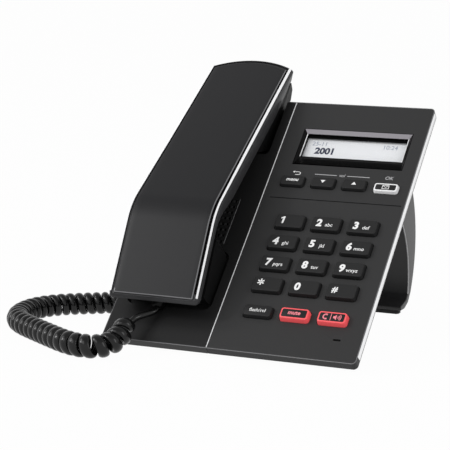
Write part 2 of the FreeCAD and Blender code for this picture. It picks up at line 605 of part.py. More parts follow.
def plan_prism(by):
    """Plan of the handset: straight mouth end, long bowed ear end."""
    half = HS_HALF_W - by
    low = HS_LOW[0] - 5
    tip = HS_END_V - by
    centre = HS_END_V - HS_END_R
    corner = centre + math.sqrt((HS_END_R - by) ** 2 - half ** 2)
    u = HANDSET_U
    edges = [
        Part.LineSegment(Vec(u - half, low, -30), Vec(u + half, low, -30)),
        Part.LineSegment(Vec(u + half, low, -30), Vec(u + half, corner, -30)),
        Part.Arc(Vec(u + half, corner, -30), Vec(u, tip, -30), Vec(u - half, corner, -30)),
        Part.LineSegment(Vec(u - half, corner, -30), Vec(u - half, low, -30))]
    outline = Part.Face(Part.Wire([e.toShape() for e in edges])).extrude(Vec(0, 0, 90))
    uprights = [e for e in outline.Edges if abs(e.BoundBox.ZLength - 90) < 1e-6]
    return outline.makeFillet(2.5, uprights)


def make_handset():
    back = hs_line(0, HS_LOW[0], HS_END_V + 4)
    parting = hs_line(HS_COVER_T, HS_LOW[0] + 6.5, HS_END_V + 4)
    lip = back[0] + Vec(0, 1.2, -3.9)
    edges = line_edges(back) + line_edges(parting) + chain([back[0], lip, parting[0]])
    edges += chain([back[4], parting[4]])
    cover = side_prism(edges, HS_HALF_W).common(plan_prism(0))
    rim = [edge for edge in cover.Edges if on_back_rim(edge)]
    cover = cover.makeFillet(HS_EDGE_R, rim)
    pocket_top = hs_line(HS_SKIN, HS_LOW[0] + 9, HS_END_V - 9)
    pocket_low = hs_line(HS_COVER_T, HS_LOW[0] + 9, HS_END_V - 9)
    pocket = side_prism(line_edges(pocket_top) + line_edges(pocket_low) + chain([pocket_top[0], pocket_low[0]])
                        + chain([pocket_top[4], pocket_low[4]]), HS_HALF_W - 3.4)
    cover = cover.cut(pocket)
    bosses = [rod(u, HS_SCREW_V, HS_SCREW_SEAT + 1.6, HS_SCREW_SEAT + 13, 3.0) for u in HS_SCREW_U]
    cover = fuse([cover] + bosses)
    cover = cover.cut(Part.makeCompound([rod(u, HS_SCREW_V, 0, HS_SCREW_SEAT + 8, 1.5) for u in HS_SCREW_U]))
    screws = [rod(u, HS_SCREW_V, HS_SCREW_SEAT - 1.3, HS_SCREW_SEAT, 2.6).fuse(
        rod(u, HS_SCREW_V, HS_SCREW_SEAT, HS_SCREW_SEAT + 7, 1.4)) for u in HS_SCREW_U]
    keep("handset_screws", Part.makeCompound(screws))
    strip_top = hs_line(TRIM_DROP, HS_LOW[0] + 3.5, HS_END_V - 6.5)
    strip_low = hs_line(TRIM_DROP + TRIM_H, HS_LOW[0] + 3.5, HS_END_V - 6.5)
    strip = side_prism(line_edges(strip_top) + line_edges(strip_low) + chain([strip_top[0], strip_low[0]])
                       + chain([strip_top[4], strip_low[4]]), HS_HALF_W)
    strips = strip.cut(box(HANDSET_U - HS_HALF_W + TRIM_T, HANDSET_U + HS_HALF_W - TRIM_T, 0, 250, -50, 80))
    strips = strips.common(cover)
    keep("handset_back_shell", cover.cut(strips))
    keep("handset_trims", Part.makeCompound(strips.Solids))
    make_handset_face()


def on_back_rim(edge):
    """Whether an edge runs round the outside of the handset's back."""
    lines = line_edges(hs_line(0, HS_LOW[0], HS_END_V + 4))
    steps = [edge.FirstParameter + (edge.LastParameter - edge.FirstParameter) * part for part in (0, 0.5, 1)]
    spots = [edge.valueAt(step) for step in steps]
    across = abs(spots[0].y - spots[2].y) < 1e-6 and abs(spots[1].y - spots[0].y) < 1e-6
    if across and spots[0].y > HS_LOW[0] + 1:
        return False
    return all(min(line.distToShape(Part.Vertex(Vec(0, p.y, p.z)))[0] for line in lines) < 1e-4 for p in spots)


def make_handset_face():
    low = hs_line(HS_COVER_T, HS_LOW[0] + 6.5, 191.5)
    edges = line_edges(low) + chain([low[0]] + list(UNDERSIDE) + [low[4]])
    shell = side_prism(edges, HS_HALF_W - FACE_INSET).common(plan_prism(FACE_INSET))
    cut_top = hs_line(HS_COVER_T, HOLLOW_LOW[0][0], HOLLOW_LOW[-1][0])
    hollow = side_prism(line_edges(cut_top) + chain([cut_top[0]] + list(HOLLOW_LOW) + [cut_top[4]]),
                        HS_HALF_W - FACE_INSET - HS_SKIN)
    shell = shell.cut(hollow)
    cuts = []
    for index in range(7):
        angle = index * math.pi / 3
        r = 0.0 if index == 6 else EAR_HOLE_RING
        u = HANDSET_U + r * math.cos(angle)
        cuts.append(rod(u, EAR_MID + r * math.sin(angle), EAR_FLOOR - 1, EAR_FLOOR + 4, EAR_HOLE_R))
    for index in (-1, 0, 1):
        u = HANDSET_U + index * MOUTH_HOLE_STEP
        cuts.append(rod(u, MOUTH_MID, MOUTH_FLOOR - 1, MOUTH_FLOOR + 4, MOUTH_HOLE_R))
    grow = JACK_CLEAR / 2
    jack = box(*HS_JACK)
    cuts.append(jack)
    mid_u = (HS_JACK[0] + HS_JACK[1]) / 2
    mid_h = (HS_JACK[4] + HS_JACK[5]) / 2
    cuts.append(box(mid_u - TAIL_W / 2 - 0.8, mid_u + TAIL_W / 2 + 0.8, HS_JACK[2] - 4, HS_JACK[2] + 1,
                    mid_h - TAIL_T / 2 - 0.8, mid_h + TAIL_T / 2 + 0.8))
    for u in HS_SCREW_U:
        cuts.append(rod(u, HS_SCREW_V, 0, HS_SCREW_SEAT, 2.9))
        cuts.append(rod(u, HS_SCREW_V, 0, HS_SCREW_SEAT + 5, 1.6))
    shell = shell.cut(Part.makeCompound(cuts))
    keep("handset_face_shell", shell)
    socket = box(mid_u - PLUG_W / 2 - grow, mid_u + PLUG_W / 2 + grow, HS_JACK[2] - 1, HS_JACK[2] + 12.0,
                 mid_h - PLUG_T / 2 - grow, mid_h + PLUG_T / 2 + grow)
    keep("handset_cord_jack", jack.cut(socket))
    plug = box(mid_u - PLUG_W / 2, mid_u + PLUG_W / 2, HS_JACK[2] + 12.0 - PLUG_L, HS_JACK[2] + 12.0,
               mid_h - PLUG_T / 2, mid_h + PLUG_T / 2)
    tail = box(mid_u - TAIL_W / 2, mid_u + TAIL_W / 2, HS_PLUG_TAIL, HS_JACK[2] + 2.0,
               mid_h - TAIL_T / 2, mid_h + TAIL_T / 2)
    keep("handset_cord_plug", fuse([plug, tail]))
    ring = rod(HANDSET_U, EAR_MID, EAR_FLOOR + HS_SKIN, EAR_FLOOR + HS_SKIN + 1.5, 17.0)
    keep("receiver_gasket", ring.cut(rod(HANDSET_U, EAR_MID, EAR_FLOOR, EAR_FLOOR + 5, 13.0)))
    ear_seat = EAR_FLOOR + HS_SKIN + 1.5
    keep("receiver_capsule", rod(HANDSET_U, EAR_MID, ear_seat, ear_seat + 5.5, 16.0))
    mouth_seat = MOUTH_FLOOR + HS_SKIN
    keep("handset_microphone", rod(HANDSET_U, MOUTH_MID, mouth_seat, mouth_seat + 4.0, 4.5))
    weight = box(HANDSET_U - 12, HANDSET_U + 12, 78, 108, 17.2, 21.5)
    tilt_down = math.degrees(math.atan2(17.2 - 9.6, 122.0 - 75.0))
    weight.rotate(Vec(HANDSET_U, 75.0, 17.2), Vec(1, 0, 0), -tilt_down)
    keep("handset_weight", weight)


# Curly cord

def route_curve():
    """Smooth line through the cord's hand-placed route points."""
    poles = [Vec(x, y + FRONT_Y, z + FRONT_Z) for x, y, z in CORD_ROUTE]
    spans = len(poles) - 2
    curve = Part.BSplineCurve()
    curve.buildFromPolesMultsKnots(poles, [3] + [1] * (spans - 1) + [3], list(range(spans + 1)), False, 2)
    return curve


def coil_points():
    """Points and directions of the wire: straight lead, curls, straight lead."""
    curve = route_curve()
    total = curve.length()
    coil_from, coil_to = COIL_SPAN[0], total - COIL_SPAN[1]
    turns = round((coil_to - coil_from) / COIL_PITCH)
    ramp = COIL_RAMP / turns
    first = curve.tangent(curve.FirstParameter)[0]
    side = first.cross(Vec(0, 0, 1)).normalize()
    frames = []
    count = turns * 32
    for index in range(count + 1):
        length = coil_from + (coil_to - coil_from) * index / count
        where = curve.parameterAtDistance(length, curve.FirstParameter)
        along = curve.tangent(where)[0].normalize()
        side = (side - along * side.dot(along)).normalize()
        frames.append((curve.value(where), along, side))
    wire = []
    for index, (centre, along, side) in enumerate(frames):
        t = index / count
        grow = min(1.0, t / ramp, (1 - t) / ramp)
        radius = COIL_R * (3 * grow ** 2 - 2 * grow ** 3)
        angle = 2 * math.pi * turns * t
        wire.append(centre + side * (radius * math.cos(angle)) + along.cross(side) * (radius * math.sin(angle)))
    return curve, coil_from, coil_to, wire


def arc_edge(p, t, q):
    """Arc from p, leaving along t, to q."""
    chord = q - p
    cosine = max(-1.0, min(1.0, t.dot(chord) / chord.Length))
    angle = math.acos(cosine)
    if angle < 1e-4:
        return Part.LineSegment(p, q).toShape()
    corner = p + t * (chord.Length / (2 * cosine))
    middle = (p + q) * 0.5
    bulge = (corner - middle).normalize() * (chord.Length / 2 * math.tan(angle / 2))
    return Part.Arc(p, middle + bulge, q).toShape()


def biarc(p, t, q, s):
    """Two arcs that join p and q and keep both directions."""
    v = q - p
    total = t + s
    room = 2 * (1 - t.dot(s))
    if room < 1e-9:
        reach = v.dot(v) / (4 * v.dot(s))
    else:
        reach = (-v.dot(total) + math.sqrt(v.dot(total) ** 2 + room * v.dot(v))) / room
    joint = (p + t * reach + q - s * reach) * 0.5
    leave = joint - p
    leave = leave * (2 * leave.dot(t) / leave.dot(leave)) - t
    return [arc_edge(p, t, joint), arc_edge(joint, leave.normalize(), q)]


def make_cord():
    curve, coil_from, coil_to, wire = coil_points()
    stations = []
    lead_steps = 4
    for index in range(lead_steps):
        stations.append(curve.parameterAtDistance(coil_from * index / lead_steps, curve.FirstParameter))
    knots = [(curve.value(w), curve.tangent(w)[0].normalize()) for w in stations]
    quarter = 8
    for index in range(0, len(wire), quarter):
        a = wire[max(index - 1, 0)]
        b = wire[min(index + 1, len(wire) - 1)]
        knots.append((wire[index], (b - a).normalize()))
    rest = curve.length() - coil_to
    tail_steps = 12
    for index in range(1, tail_steps + 1):
        w = curve.parameterAtDistance(coil_to + rest * index / tail_steps, curve.FirstParameter)
        knots.append((curve.value(w), curve.tangent(w)[0].normalize()))
    edges = []
    for (p, t), (q, s) in zip(knots, knots[1:]):
        edges += biarc(p, t, q, s)
    path = Part.Wire(edges)
    start, heading = knots[0]
    profile = Part.Wire(Part.makeCircle(CORD_D / 2, start, heading))
    sweep = Part.BRepOffsetAPI.MakePipeShell(path)
    sweep.add(profile, False, False)
    sweep.build()
    sweep.makeSolid()
    cord = sweep.shape()
    print("cord wire length", round(path.Length, 1), "volume ratio",
          round(cord.Volume / (math.pi * CORD_D ** 2 / 4 * path.Length), 4), "valid", cord.isValid())
    gap = 1e9
    skip = 20
    for i in range(0, len(wire), 2):
        for j in range(i + skip, min(i + 90, len(wire))):
            gap = min(gap, wire[i].distanceToPoint(wire[j]))
    print("least gap between curls", round(gap - CORD_D, 2))
    keep("curly_cord", cord, None)


make_key_panel()
make_cradle_panel()
make_hook()
make_rear_cover()
make_connectors()
make_display()
make_board()
make_keys()
make_sound()
make_stand()
make_fixings()
make_handset()
make_cord()

os.makedirs("parts", exist_ok=True)
for node, solid in NODES.items():
    solid.exportStep(os.path.join("parts", node + ".step"))
print(len(NODES), "nodes")
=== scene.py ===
import math

import bpy
import numpy as np
from mathutils import Matrix, Vector


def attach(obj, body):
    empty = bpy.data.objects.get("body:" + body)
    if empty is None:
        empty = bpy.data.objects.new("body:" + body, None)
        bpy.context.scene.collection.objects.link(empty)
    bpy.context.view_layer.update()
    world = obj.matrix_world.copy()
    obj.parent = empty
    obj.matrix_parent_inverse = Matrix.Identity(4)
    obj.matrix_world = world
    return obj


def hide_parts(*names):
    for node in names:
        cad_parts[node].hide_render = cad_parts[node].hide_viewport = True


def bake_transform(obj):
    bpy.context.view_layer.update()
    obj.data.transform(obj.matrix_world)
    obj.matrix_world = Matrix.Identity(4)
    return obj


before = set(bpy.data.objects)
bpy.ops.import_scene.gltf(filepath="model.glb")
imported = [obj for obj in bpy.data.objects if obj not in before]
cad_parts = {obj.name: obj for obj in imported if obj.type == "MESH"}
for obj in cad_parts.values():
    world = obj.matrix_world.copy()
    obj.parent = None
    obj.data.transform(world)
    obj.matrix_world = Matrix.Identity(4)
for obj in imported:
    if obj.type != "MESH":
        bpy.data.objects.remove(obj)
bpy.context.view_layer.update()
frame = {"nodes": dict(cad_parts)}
nodes = frame["nodes"]


# Frames: sizes are millimetres; u runs across the sloped face, v up it and h out of it

MM = 0.001
TILT = math.radians(42.82)
FRONT_Y, FRONT_Z = -84.815, 6.0
ROOM = Matrix.Scale(MM, 4)
FACE = Matrix.Translation((0, FRONT_Y * MM, FRONT_Z * MM)) @ Matrix.Rotation(TILT, 4, "X") @ ROOM


def link(name, data):
    """New object in the scene."""
    o = bpy.data.objects.new(name, data)
    bpy.context.scene.collection.objects.link(o)
    return o


def ramp(value, start, end):
    """0 before start, 1 past end, and even between them."""
    return min(1, max(0, (value - start) / (end - start)))


def ease(share):
    """Share from 0 to 1, with soft ends."""
    return share * share * (3 - 2 * share)


# Camera, fitted to the phone's corners in the photo

LENS, SENSOR, CLIP_END = 142.4, 36.0, 20.0
EYE = (383.1, FRONT_Y - 851.3, 243.0)
EYE_RIGHT, EYE_BACK = (0.9121, 0.4099, 0.0), (0.4034, -0.8976, 0.1776)


def add_camera():
    data = bpy.data.cameras.new("camera")
    data.lens = LENS
    data.sensor_width = SENSOR
    data.clip_end = CLIP_END
    back = Vector(EYE_BACK).normalized()
    up = back.cross(Vector(EYE_RIGHT).normalized()).normalized()
    turn = Matrix((up.cross(back), up, back)).transposed().to_4x4()
    camera = link("camera", data)
    camera.matrix_world = Matrix.Translation(Vector(EYE) * MM) @ turn
    bpy.context.scene.camera = camera


add_camera()


# Materials

GRAIN_SIZE, GRAIN_DEPTH, GRAIN_DETAIL = 0.0004, 0.0001, 2
CLOUD_SCALE, CLOUD_DETAIL, LEAST_ROUGH = 45, 4, 0.02


def add_noise(tree, scale, detail):
    """Noise that keeps its place on the object."""
    where = tree.nodes.new("ShaderNodeTexCoord")
    noise = tree.nodes.new("ShaderNodeTexNoise")
    noise.inputs["Scale"].default_value = scale
    noise.inputs["Detail"].default_value = detail
    tree.links.new(where.outputs["Object"], noise.inputs["Vector"])
    return noise.outputs["Fac"]


def material(name, colour, rough=0.5, spec=0.5, metal=0.0, grain=0.0, glow=0.0, alpha=1.0, mottle=0.0):
    """One procedural finish: colour, gloss, and a fine moulded grain or a cloudy gloss where asked."""
    m = bpy.data.materials.new(name)
    m.use_nodes = True
    tree = m.node_tree
    p = tree.nodes["Principled BSDF"]
    p.inputs["Base Color"].default_value = (*colour, 1)
    p.inputs["Roughness"].default_value = rough
    p.inputs["Specular IOR Level"].default_value = spec
    p.inputs["Metallic"].default_value = metal
    p.inputs["Alpha"].default_value = alpha
    # glow is painted light: the finish shines in its own colour though the part is no lamp
    if glow:
        p.inputs["Emission Color"].default_value = (*colour, 1)
        p.inputs["Emission Strength"].default_value = glow
    if grain:
        bump = tree.nodes.new("ShaderNodeBump")
        bump.inputs["Strength"].default_value = grain
        bump.inputs["Distance"].default_value = GRAIN_DEPTH
        tree.links.new(add_noise(tree, 1 / GRAIN_SIZE, GRAIN_DETAIL), bump.inputs["Height"])
        tree.links.new(bump.outputs["Normal"], p.inputs["Normal"])
    if mottle:
        spread = tree.nodes.new("ShaderNodeMapRange")
        spread.inputs["To Min"].default_value = max(LEAST_ROUGH, rough - mottle)
        spread.inputs["To Max"].default_value = rough + mottle
        tree.links.new(add_noise(tree, CLOUD_SCALE, CLOUD_DETAIL), spread.inputs["Value"])
        tree.links.new(spread.outputs["Result"], p.inputs["Roughness"])
    return m


PANEL = material("panel", (0.030, 0.030, 0.0306), 0.5, 0.2, grain=0.3)
CRADLE = material("cradle", (0.014, 0.014, 0.0143), 0.34, 0.2, grain=0.1, mottle=0.03)
HOUSING = material("housing", (0.012, 0.012, 0.0124), 0.48, 0.22, grain=0.25)
STAND = material("stand", (0.020, 0.020, 0.0206), 0.36, 0.35, grain=0.2)
HANDSET = material("handset", (0.0125, 0.0125, 0.0138), 0.38, 0.2, grain=0.25)
# lighter copy of the handset's plastic: painted light on the cover's side wall and mouth lip
HANDSET_LIT_SIDE = material("handset_lit_side", (0.034, 0.034, 0.036), 0.4, 0.25, grain=0.15)
# darker copy of the handset's plastic: painted shade on the face shell under the cover; also the
# loudspeaker's dark finish
HANDSET_DARK_AND_SHADE = material("handset_dark_and_shade", (0.006, 0.006, 0.0062), 0.42, 0.2, grain=0.15)
KEY = material("key", (0.017, 0.017, 0.0174), 0.45, 0.2, grain=0.15)
# the red frames and the white OK frame glow: painted light standing in for light through the translucent
# plastic
RED = material("red", (0.82, 0.095, 0.105), 0.3, 0.45, glow=0.25)
WHITE = material("white_frame", (0.80, 0.80, 0.81), 0.35, 0.5, glow=0.1)
# pale paint on the handset's side strips: a painted highlight along its sides
STRIP_HIGHLIGHT_PAINT = material("strip_highlight_paint", (0.93, 0.93, 0.94), 0.3, 0.5, grain=0.05)
# pale metal on the base's side strips: a painted highlight along its sides
SIDE_STRIP_HIGHLIGHT = material("side_strip_highlight", (0.88, 0.88, 0.89), 0.28, 0.5, metal=1.0)
BEZEL = material("bezel", (0.004, 0.004, 0.0042), 0.25, 0.08)
# painted reflection on the slope above the display
BEZEL_TOP_REFLECTION = material("bezel_top_reflection", (0.24, 0.225, 0.25), 0.3, 0.5)
WINDOW = material("window", (0.9, 0.93, 0.95), 0.06, 0.5, alpha=0.04)
LCD = material("lcd", (0.80, 0.81, 0.83), 0.5, 0.3)
LCD_INK = material("lcd_ink", (0.012, 0.016, 0.05), 0.5, 0.1)
LCD_FAINT = material("lcd_faint", (0.34, 0.37, 0.45), 0.5, 0.3)
PRINT = material("print", (0.86, 0.86, 0.86), 0.5, 0.4)
PRINT_DIM = material("print_dim", (0.42, 0.42, 0.43), 0.5, 0.4)
# the print on the red keys' caps glows: painted light
PRINT_LIT = material("print_lit", (0.80, 0.22, 0.26), 0.5, 0.4, glow=0.15)
# pale grey: painted highlights on the handset cover's edge, the panel's rim and the line beside the grille
EDGE_HIGHLIGHT = material("edge", (0.16, 0.16, 0.165), 0.25, 0.5)
# pale grey: painted highlight along the stand's front edges
STAND_EDGE_HIGHLIGHT = material("stand_edge", (0.48, 0.48, 0.49), 0.3, 0.5)
# near-white: painted highlight on the seam between the panels and on the display frame's side steps
PALE_HIGHLIGHT = material("rim", (0.78, 0.78, 0.79), 0.3, 0.5)
# near-black: painted shade in the handset cover's grooves and under the cover
GROOVE_SHADE = material("groove", (0.0015, 0.0015, 0.0015), 0.6, 0.05)
RUBBER = material("rubber", (0.016, 0.016, 0.016), 0.75, 0.3, grain=0.3)
GREY_RUBBER = material("grey_rubber", (0.30, 0.30, 0.31), 0.7, 0.3)
BOARD = material("board", (0.03, 0.19, 0.08), 0.4, 0.5)
STEEL = material("steel", (0.55, 0.55, 0.57), 0.35, 0.5, metal=1.0)
DARK_STEEL = material("dark_steel", (0.05, 0.05, 0.052), 0.35, 0.5, metal=1.0)
CONNECTOR = material("connector", (0.014, 0.014, 0.015), 0.35, 0.4)
RIBBON = material("ribbon", (0.50, 0.26, 0.09), 0.4, 0.4)
LAMP = material("lamp", (0.80, 0.80, 0.74), 0.25, 0.5)
CORD = material("cord", (0.005, 0.005, 0.0052), 0.17, 0.3, grain=0.05)
PLUG = material("plug", (0.004, 0.004, 0.0042), 0.3, 0.1)


# Carried-over solids

WELD_M = 2e-6
ROUND_OVER = math.radians(35)
NUMBER_KEYS = ("1", "2", "3", "4", "5", "6", "7", "8", "9", "star", "0", "hash")


def dress(name, mat, soften=0.0):
    """Give a solid its finish; soften rounds its sharp edges by so many millimetres."""
    o = nodes[name]
    o.data.materials.clear()
    o.data.materials.append(mat)
    for poly in o.data.polygons:
        poly.use_smooth = True
    weld = o.modifiers.new("weld", "WELD")
    weld.merge_threshold = WELD_M
    if soften:
        bevel = o.modifiers.new("round", "BEVEL")
        bevel.width = soften * MM
        bevel.segments = 2
        bevel.limit_method = "ANGLE"
        bevel.angle_limit = ROUND_OVER
        bevel.miter_outer = "MITER_ARC"
    normal = o.modifiers.new("normals", "WEIGHTED_NORMAL")
    normal.keep_sharp = False
    normal.weight = 90


def dress_solids():
    dress("key_panel", PANEL, 0.25)
    dress("cradle_panel", CRADLE, 0.25)
    dress("rear_cover", HOUSING, 0.3)
    dress("desk_stand", STAND, 0.6)
    dress("stand_feet", RUBBER, 0.4)
    for key in (*NUMBER_KEYS, "menu", "down", "up"):
        dress("key_" + key, KEY)
    plain = {RUBBER: ("microphone_boot", "receiver_gasket"),
             GREY_RUBBER: ("keypad_mat",),
             BOARD: ("main_board",),
             RIBBON: ("lcd_ribbon",),
             LAMP: ("indicator_leds",),
             LCD: ("lcd_module",),
             HANDSET_DARK_AND_SHADE: ("loudspeaker",),
             STEEL: ("housing_screws", "board_screws", "handset_weight", "handsfree_microphone",
                     "receiver_capsule", "handset_microphone"),
             DARK_STEEL: ("handset_screws",),
             CONNECTOR: ("lan_jacks", "power_jack", "base_cord_jack", "handset_cord_jack", "hook_switch",
                         "hook_plunger"),
             PLUG: ("base_cord_plug", "handset_cord_plug")}
    for mat, names in plain.items():
        for name in names:
            dress(name, mat)


dress_solids()


# New pieces

def piece(name, verts, faces, mats, body, face_mats=None, at=FACE, smooth=40):
    """Mesh in millimetres of the face's frame, or of the frame given, tied to a body."""
    mats = mats if isinstance(mats, list) else [mats]
    mesh = bpy.data.meshes.new(name)
    mesh.from_pydata([tuple(v) for v in verts], [], faces)
    mesh.transform(at)
    mesh.update()
    for m in mats:
        mesh.materials.append(m)
    if face_mats is not None:
        mesh.polygons.foreach_set("material_index", face_mats)
    mesh.polygons.foreach_set("use_smooth", [True] * len(mesh.polygons))
    mesh.set_sharp_from_angle(angle=math.radians(smooth))
    o = link(name, mesh)
    if body:
        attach(o, body)
    return o


# Forms that the pieces are built from

def around(u, v, w, d):
    """Bounds of a rectangle by its middle and size, as (u0, u1, v0, v1)."""
    return (u - w / 2, u + w / 2, v - d / 2, v + d / 2)


def shrink(bounds, by):
    return (bounds[0] + by, bounds[1] - by, bounds[2] + by, bounds[3] - by)


def rect(bounds, h):
    """Corners of a rectangle, anticlockwise, at one height."""
    u0, u1, v0, v1 = bounds
    return [(u0, v0, h), (u1, v0, h), (u1, v1, h), (u0, v1, h)]


def arc(radius, start, end, steps=12, x=0.0, y=0.0):
    """Points of an arc about (x, y), from one angle to another in degrees."""
    turn = [math.radians(start + (end - start) * k / steps) for k in range(steps + 1)]
    return [(x + radius * math.cos(a), y + radius * math.sin(a)) for a in turn]


def rounded(bounds, radius, h, steps=5):
    """Rectangle with round corners, anticlockwise, at one height."""
    u0, u1, v0, v1 = shrink(bounds, radius)
    points = []
    for cu, cv, start in ((u1, v0, -90), (u1, v1, 0), (u0, v1, 90), (u0, v0, 180)):
        points += [(u, v, h) for u, v in arc(radius, start, start + 90, steps, cu, cv)]
    return points


def stack(rings):
    """Closed skin through rings of equal length, from the bottom up."""
    n = len(rings[0])
    verts = [p for ring in rings for p in ring]
    faces = [tuple(reversed(range(n)))]
    for k in range(len(rings) - 1):
        for j in range(n):
            a, b = k * n + j, k * n + (j + 1) % n
            faces.append((a, b, b + n, a + n))
    faces.append(tuple(range((len(rings) - 1) * n, len(rings) * n)))
    return verts, faces


def join(parts):
    """One list of vertices and faces from several."""
    verts, faces = [], []
    for more, polys in parts:
        faces += [tuple(len(verts) + i for i in f) for f in polys]
        verts += more
    return verts, faces


def directions(points):
    """Direction of a line of points at each of them."""
    ahead = np.gradient(points, axis=0)
    return ahead / np.linalg.norm(ahead, axis=1)[:, None]


def bead(path, radius, sides=8, normal=(0, 0, 1.0)):
    """Thin round line along an open path that lies in a plane with this normal."""
    p = np.array(path, float)
    across = np.cross(directions(p), normal)
    rise = np.array(normal) * radius
    turn = [2 * math.pi * j / sides for j in range(sides)]
    verts = [tuple(p[k] + across[k] * radius * math.cos(a) + rise * math.sin(a))
             for k in range(len(p)) for a in turn]
    faces = []
    for k in range(len(p) - 1):
        a = k * sides
        b = a + sides
        faces += [(a + j, b + j, b + (j + 1) % sides, a + (j + 1) % sides) for j in range(sides)]
    last = (len(p) - 1) * sides
    faces += [tuple(range(sides)), tuple(reversed(range(last, last + sides)))]
    return verts, faces


# Handset cover: rings round the plan, dropped below a crowned back

HS_U, HS_HALF, HS_CROWN = -43.4, 26.2, 0.25
HS_LOW, HS_BEND, HS_HIGH = (20.0, 15.5), (70.0, 32.2), (201.0, 8.6)
HS_BEND_R, HS_END_V, HS_END_R = 36.0, 202.8, 53.0
HS_CORNER_R, HS_LEAST_R = 2.5, 0.4
LOWER = math.atan2(HS_BEND[1] - HS_LOW[1], HS_BEND[0] - HS_LOW[0])
UPPER = math.atan2(HS_HIGH[1] - HS_BEND[1], HS_HIGH[0] - HS_BEND[0])
CORNER_STEPS, SIDE_STEPS, END_STEPS, ACROSS = 6, 120, 10, 16

# the cover lies to the left of the cradle's middle, a little askew, and widens towards the mouth end
EAR_V, WIDEN_RUN = 195.0, 125.0
ASIDE, ASKEW = 0.4, 0.0085
WIDE_AT_EAR, WIDE_MORE = 1.015, 0.027

# above the bend the wall's low rings reach further down, and at the ear end they lean in
WALL_LOW, UNDERCUT_LOW = 3.0, 5.0
DEEPER_V, WALL_DEEPER, UNDERCUT_DEEPER = (56.0, 90.0), 4.6, 2.6
LEAN_V, LEAN_SHARE, LEAN_BACK = (160.0, 195.0), 0.075, 1.6

# inset, drop, mouth edge and finish of each ring, from the back down to the undercut
# kinds of finish: the back's own plastic, a painted highlight on the edge, painted shade in the grooves and
# under the cover, and painted light on the side wall and mouth lip
BACK, LIT, SHADE, LIT_SIDE = range(4)
COVER_RINGS = ((3.55, 0.0, 20.8, BACK), (3.25, 0.05, 20.55, LIT), (3.0, 0.26, 20.35, LIT),
               (2.95, 0.95, 20.25, SHADE), (1.35, 1.0, 19.7, SHADE), (1.3, 0.42, 19.6, SHADE),
               (1.25, 0.34, 19.55, LIT_SIDE), (0.42, 0.72, 19.25, LIT_SIDE), (0.38, 1.05, 19.2, SHADE),
               (0.12, 1.15, 19.1, SHADE), (0.0, 1.35, 18.9, LIT_SIDE), (-0.4, 2.7, 18.7, LIT_SIDE),
               (-0.45, 3.5, 19.4, LIT_SIDE), (-0.25, 3.9, 20.2, LIT_SIDE), (3.0, 9.2, 28.0, SHADE))
LINES_V, LINES_DROP = (22.5, 194.0), 1.2

# inset and drop of the pale strip's corners, and 1 for those that move in as it widens up the grip; its pale
# paint is a painted highlight
STRIP_SECTION = ((1.34, 0.28, 1), (1.24, 0.18, 1), (0.46, 0.52, 0), (0.34, 0.64, 0), (0.40, 0.9, 0),
                 (1.3, 0.8, 0))
STRIP_V, STRIP_STEPS, STRIP_WIDENS_V, STRIP_WIDER = (21.2, 196.0), 160, (75.0, 125.0), 0.5


def back_line(v):
    """Height of the handset's back at v, and its slope."""
    reach = HS_BEND_R * math.tan((LOWER - UPPER) / 2)
    bend_from = HS_BEND[0] - reach * math.cos(LOWER)
    bend_to = HS_BEND[0] + reach * math.cos(UPPER)
    if v <= bend_from:
        return HS_BEND[1] + (v - HS_BEND[0]) * math.tan(LOWER), LOWER
    if v >= bend_to:
        return HS_BEND[1] + (v - HS_BEND[0]) * math.tan(UPPER), UPPER
    centre_v = bend_from + HS_BEND_R * math.sin(LOWER)
    centre_h = HS_BEND[1] - reach * math.sin(LOWER) - HS_BEND_R * math.cos(LOWER)
    s = (v - centre_v) / HS_BEND_R
    return centre_h + HS_BEND_R * math.sqrt(1 - s * s), -math.asin(s)


def half_plan(inset, mouth):
    """Right half of the plan, from the mouth edge to the tip, as (x, v)."""
    w = HS_HALF - inset
    r = max(HS_LEAST_R, HS_CORNER_R - inset)
    end_r = HS_END_R - inset
    centre = HS_END_V - HS_END_R
    # the ear corner's circle touches the side and the end's arc
    corner_x = w - r
    corner_v = centre + math.sqrt((end_r - r) ** 2 - corner_x ** 2)
    end_angle = math.atan2(corner_x, corner_v - centre)
    low = mouth + r
    points = [(corner_x, mouth)]
    for k in range(1, CORNER_STEPS + 1):
        a = math.pi / 2 * k / CORNER_STEPS
        points.append((corner_x + r * math.sin(a), low - r * math.cos(a)))
    for k in range(1, SIDE_STEPS + 1):
        points.append((w, low + (corner_v - low) * k / SIDE_STEPS))
    for k in range(1, CORNER_STEPS + 1):
        a = math.pi / 2 + (end_angle - math.pi / 2) * k / CORNER_STEPS
        points.append((corner_x + r * math.sin(a), corner_v + r * math.cos(a)))
    for k in range(1, END_STEPS + 1):
        a = end_angle * (1 - k / END_STEPS)
        points.append((end_r * math.sin(a), centre + end_r * math.cos(a)))
    return points


def surface(x, v, drop):
    """Point of the cover, so far below its back."""
    h, slope = back_line(v)
    middle = HS_U - ASIDE - ASKEW * (EAR_V - v)
    wider = WIDE_AT_EAR + WIDE_MORE * min(1, (EAR_V - v) / WIDEN_RUN)
    return (middle + x * wider, v, h - HS_CROWN * (x / HS_HALF) ** 2 - drop / math.cos(slope))


def wall_point(x, v, drop):
    """Point of a ring round the cover."""
    if drop < WALL_LOW:
        return surface(x, v, drop)
    deeper = (WALL_DEEPER if drop < UNDERCUT_LOW else UNDERCUT_DEEPER) * ease(ramp(v, *DEEPER_V))
    lean = ramp(v, *LEAN_V)
    return surface(x * (1 - LEAN_SHARE * lean), v - LEAN_BACK * lean, drop + deeper)


def row_across(x, v, drop):
    """Points straight across the cover, from -x to x."""
    return [surface(x * (2 * i / ACROSS - 1), v, drop) for i in range(ACROSS + 1)]


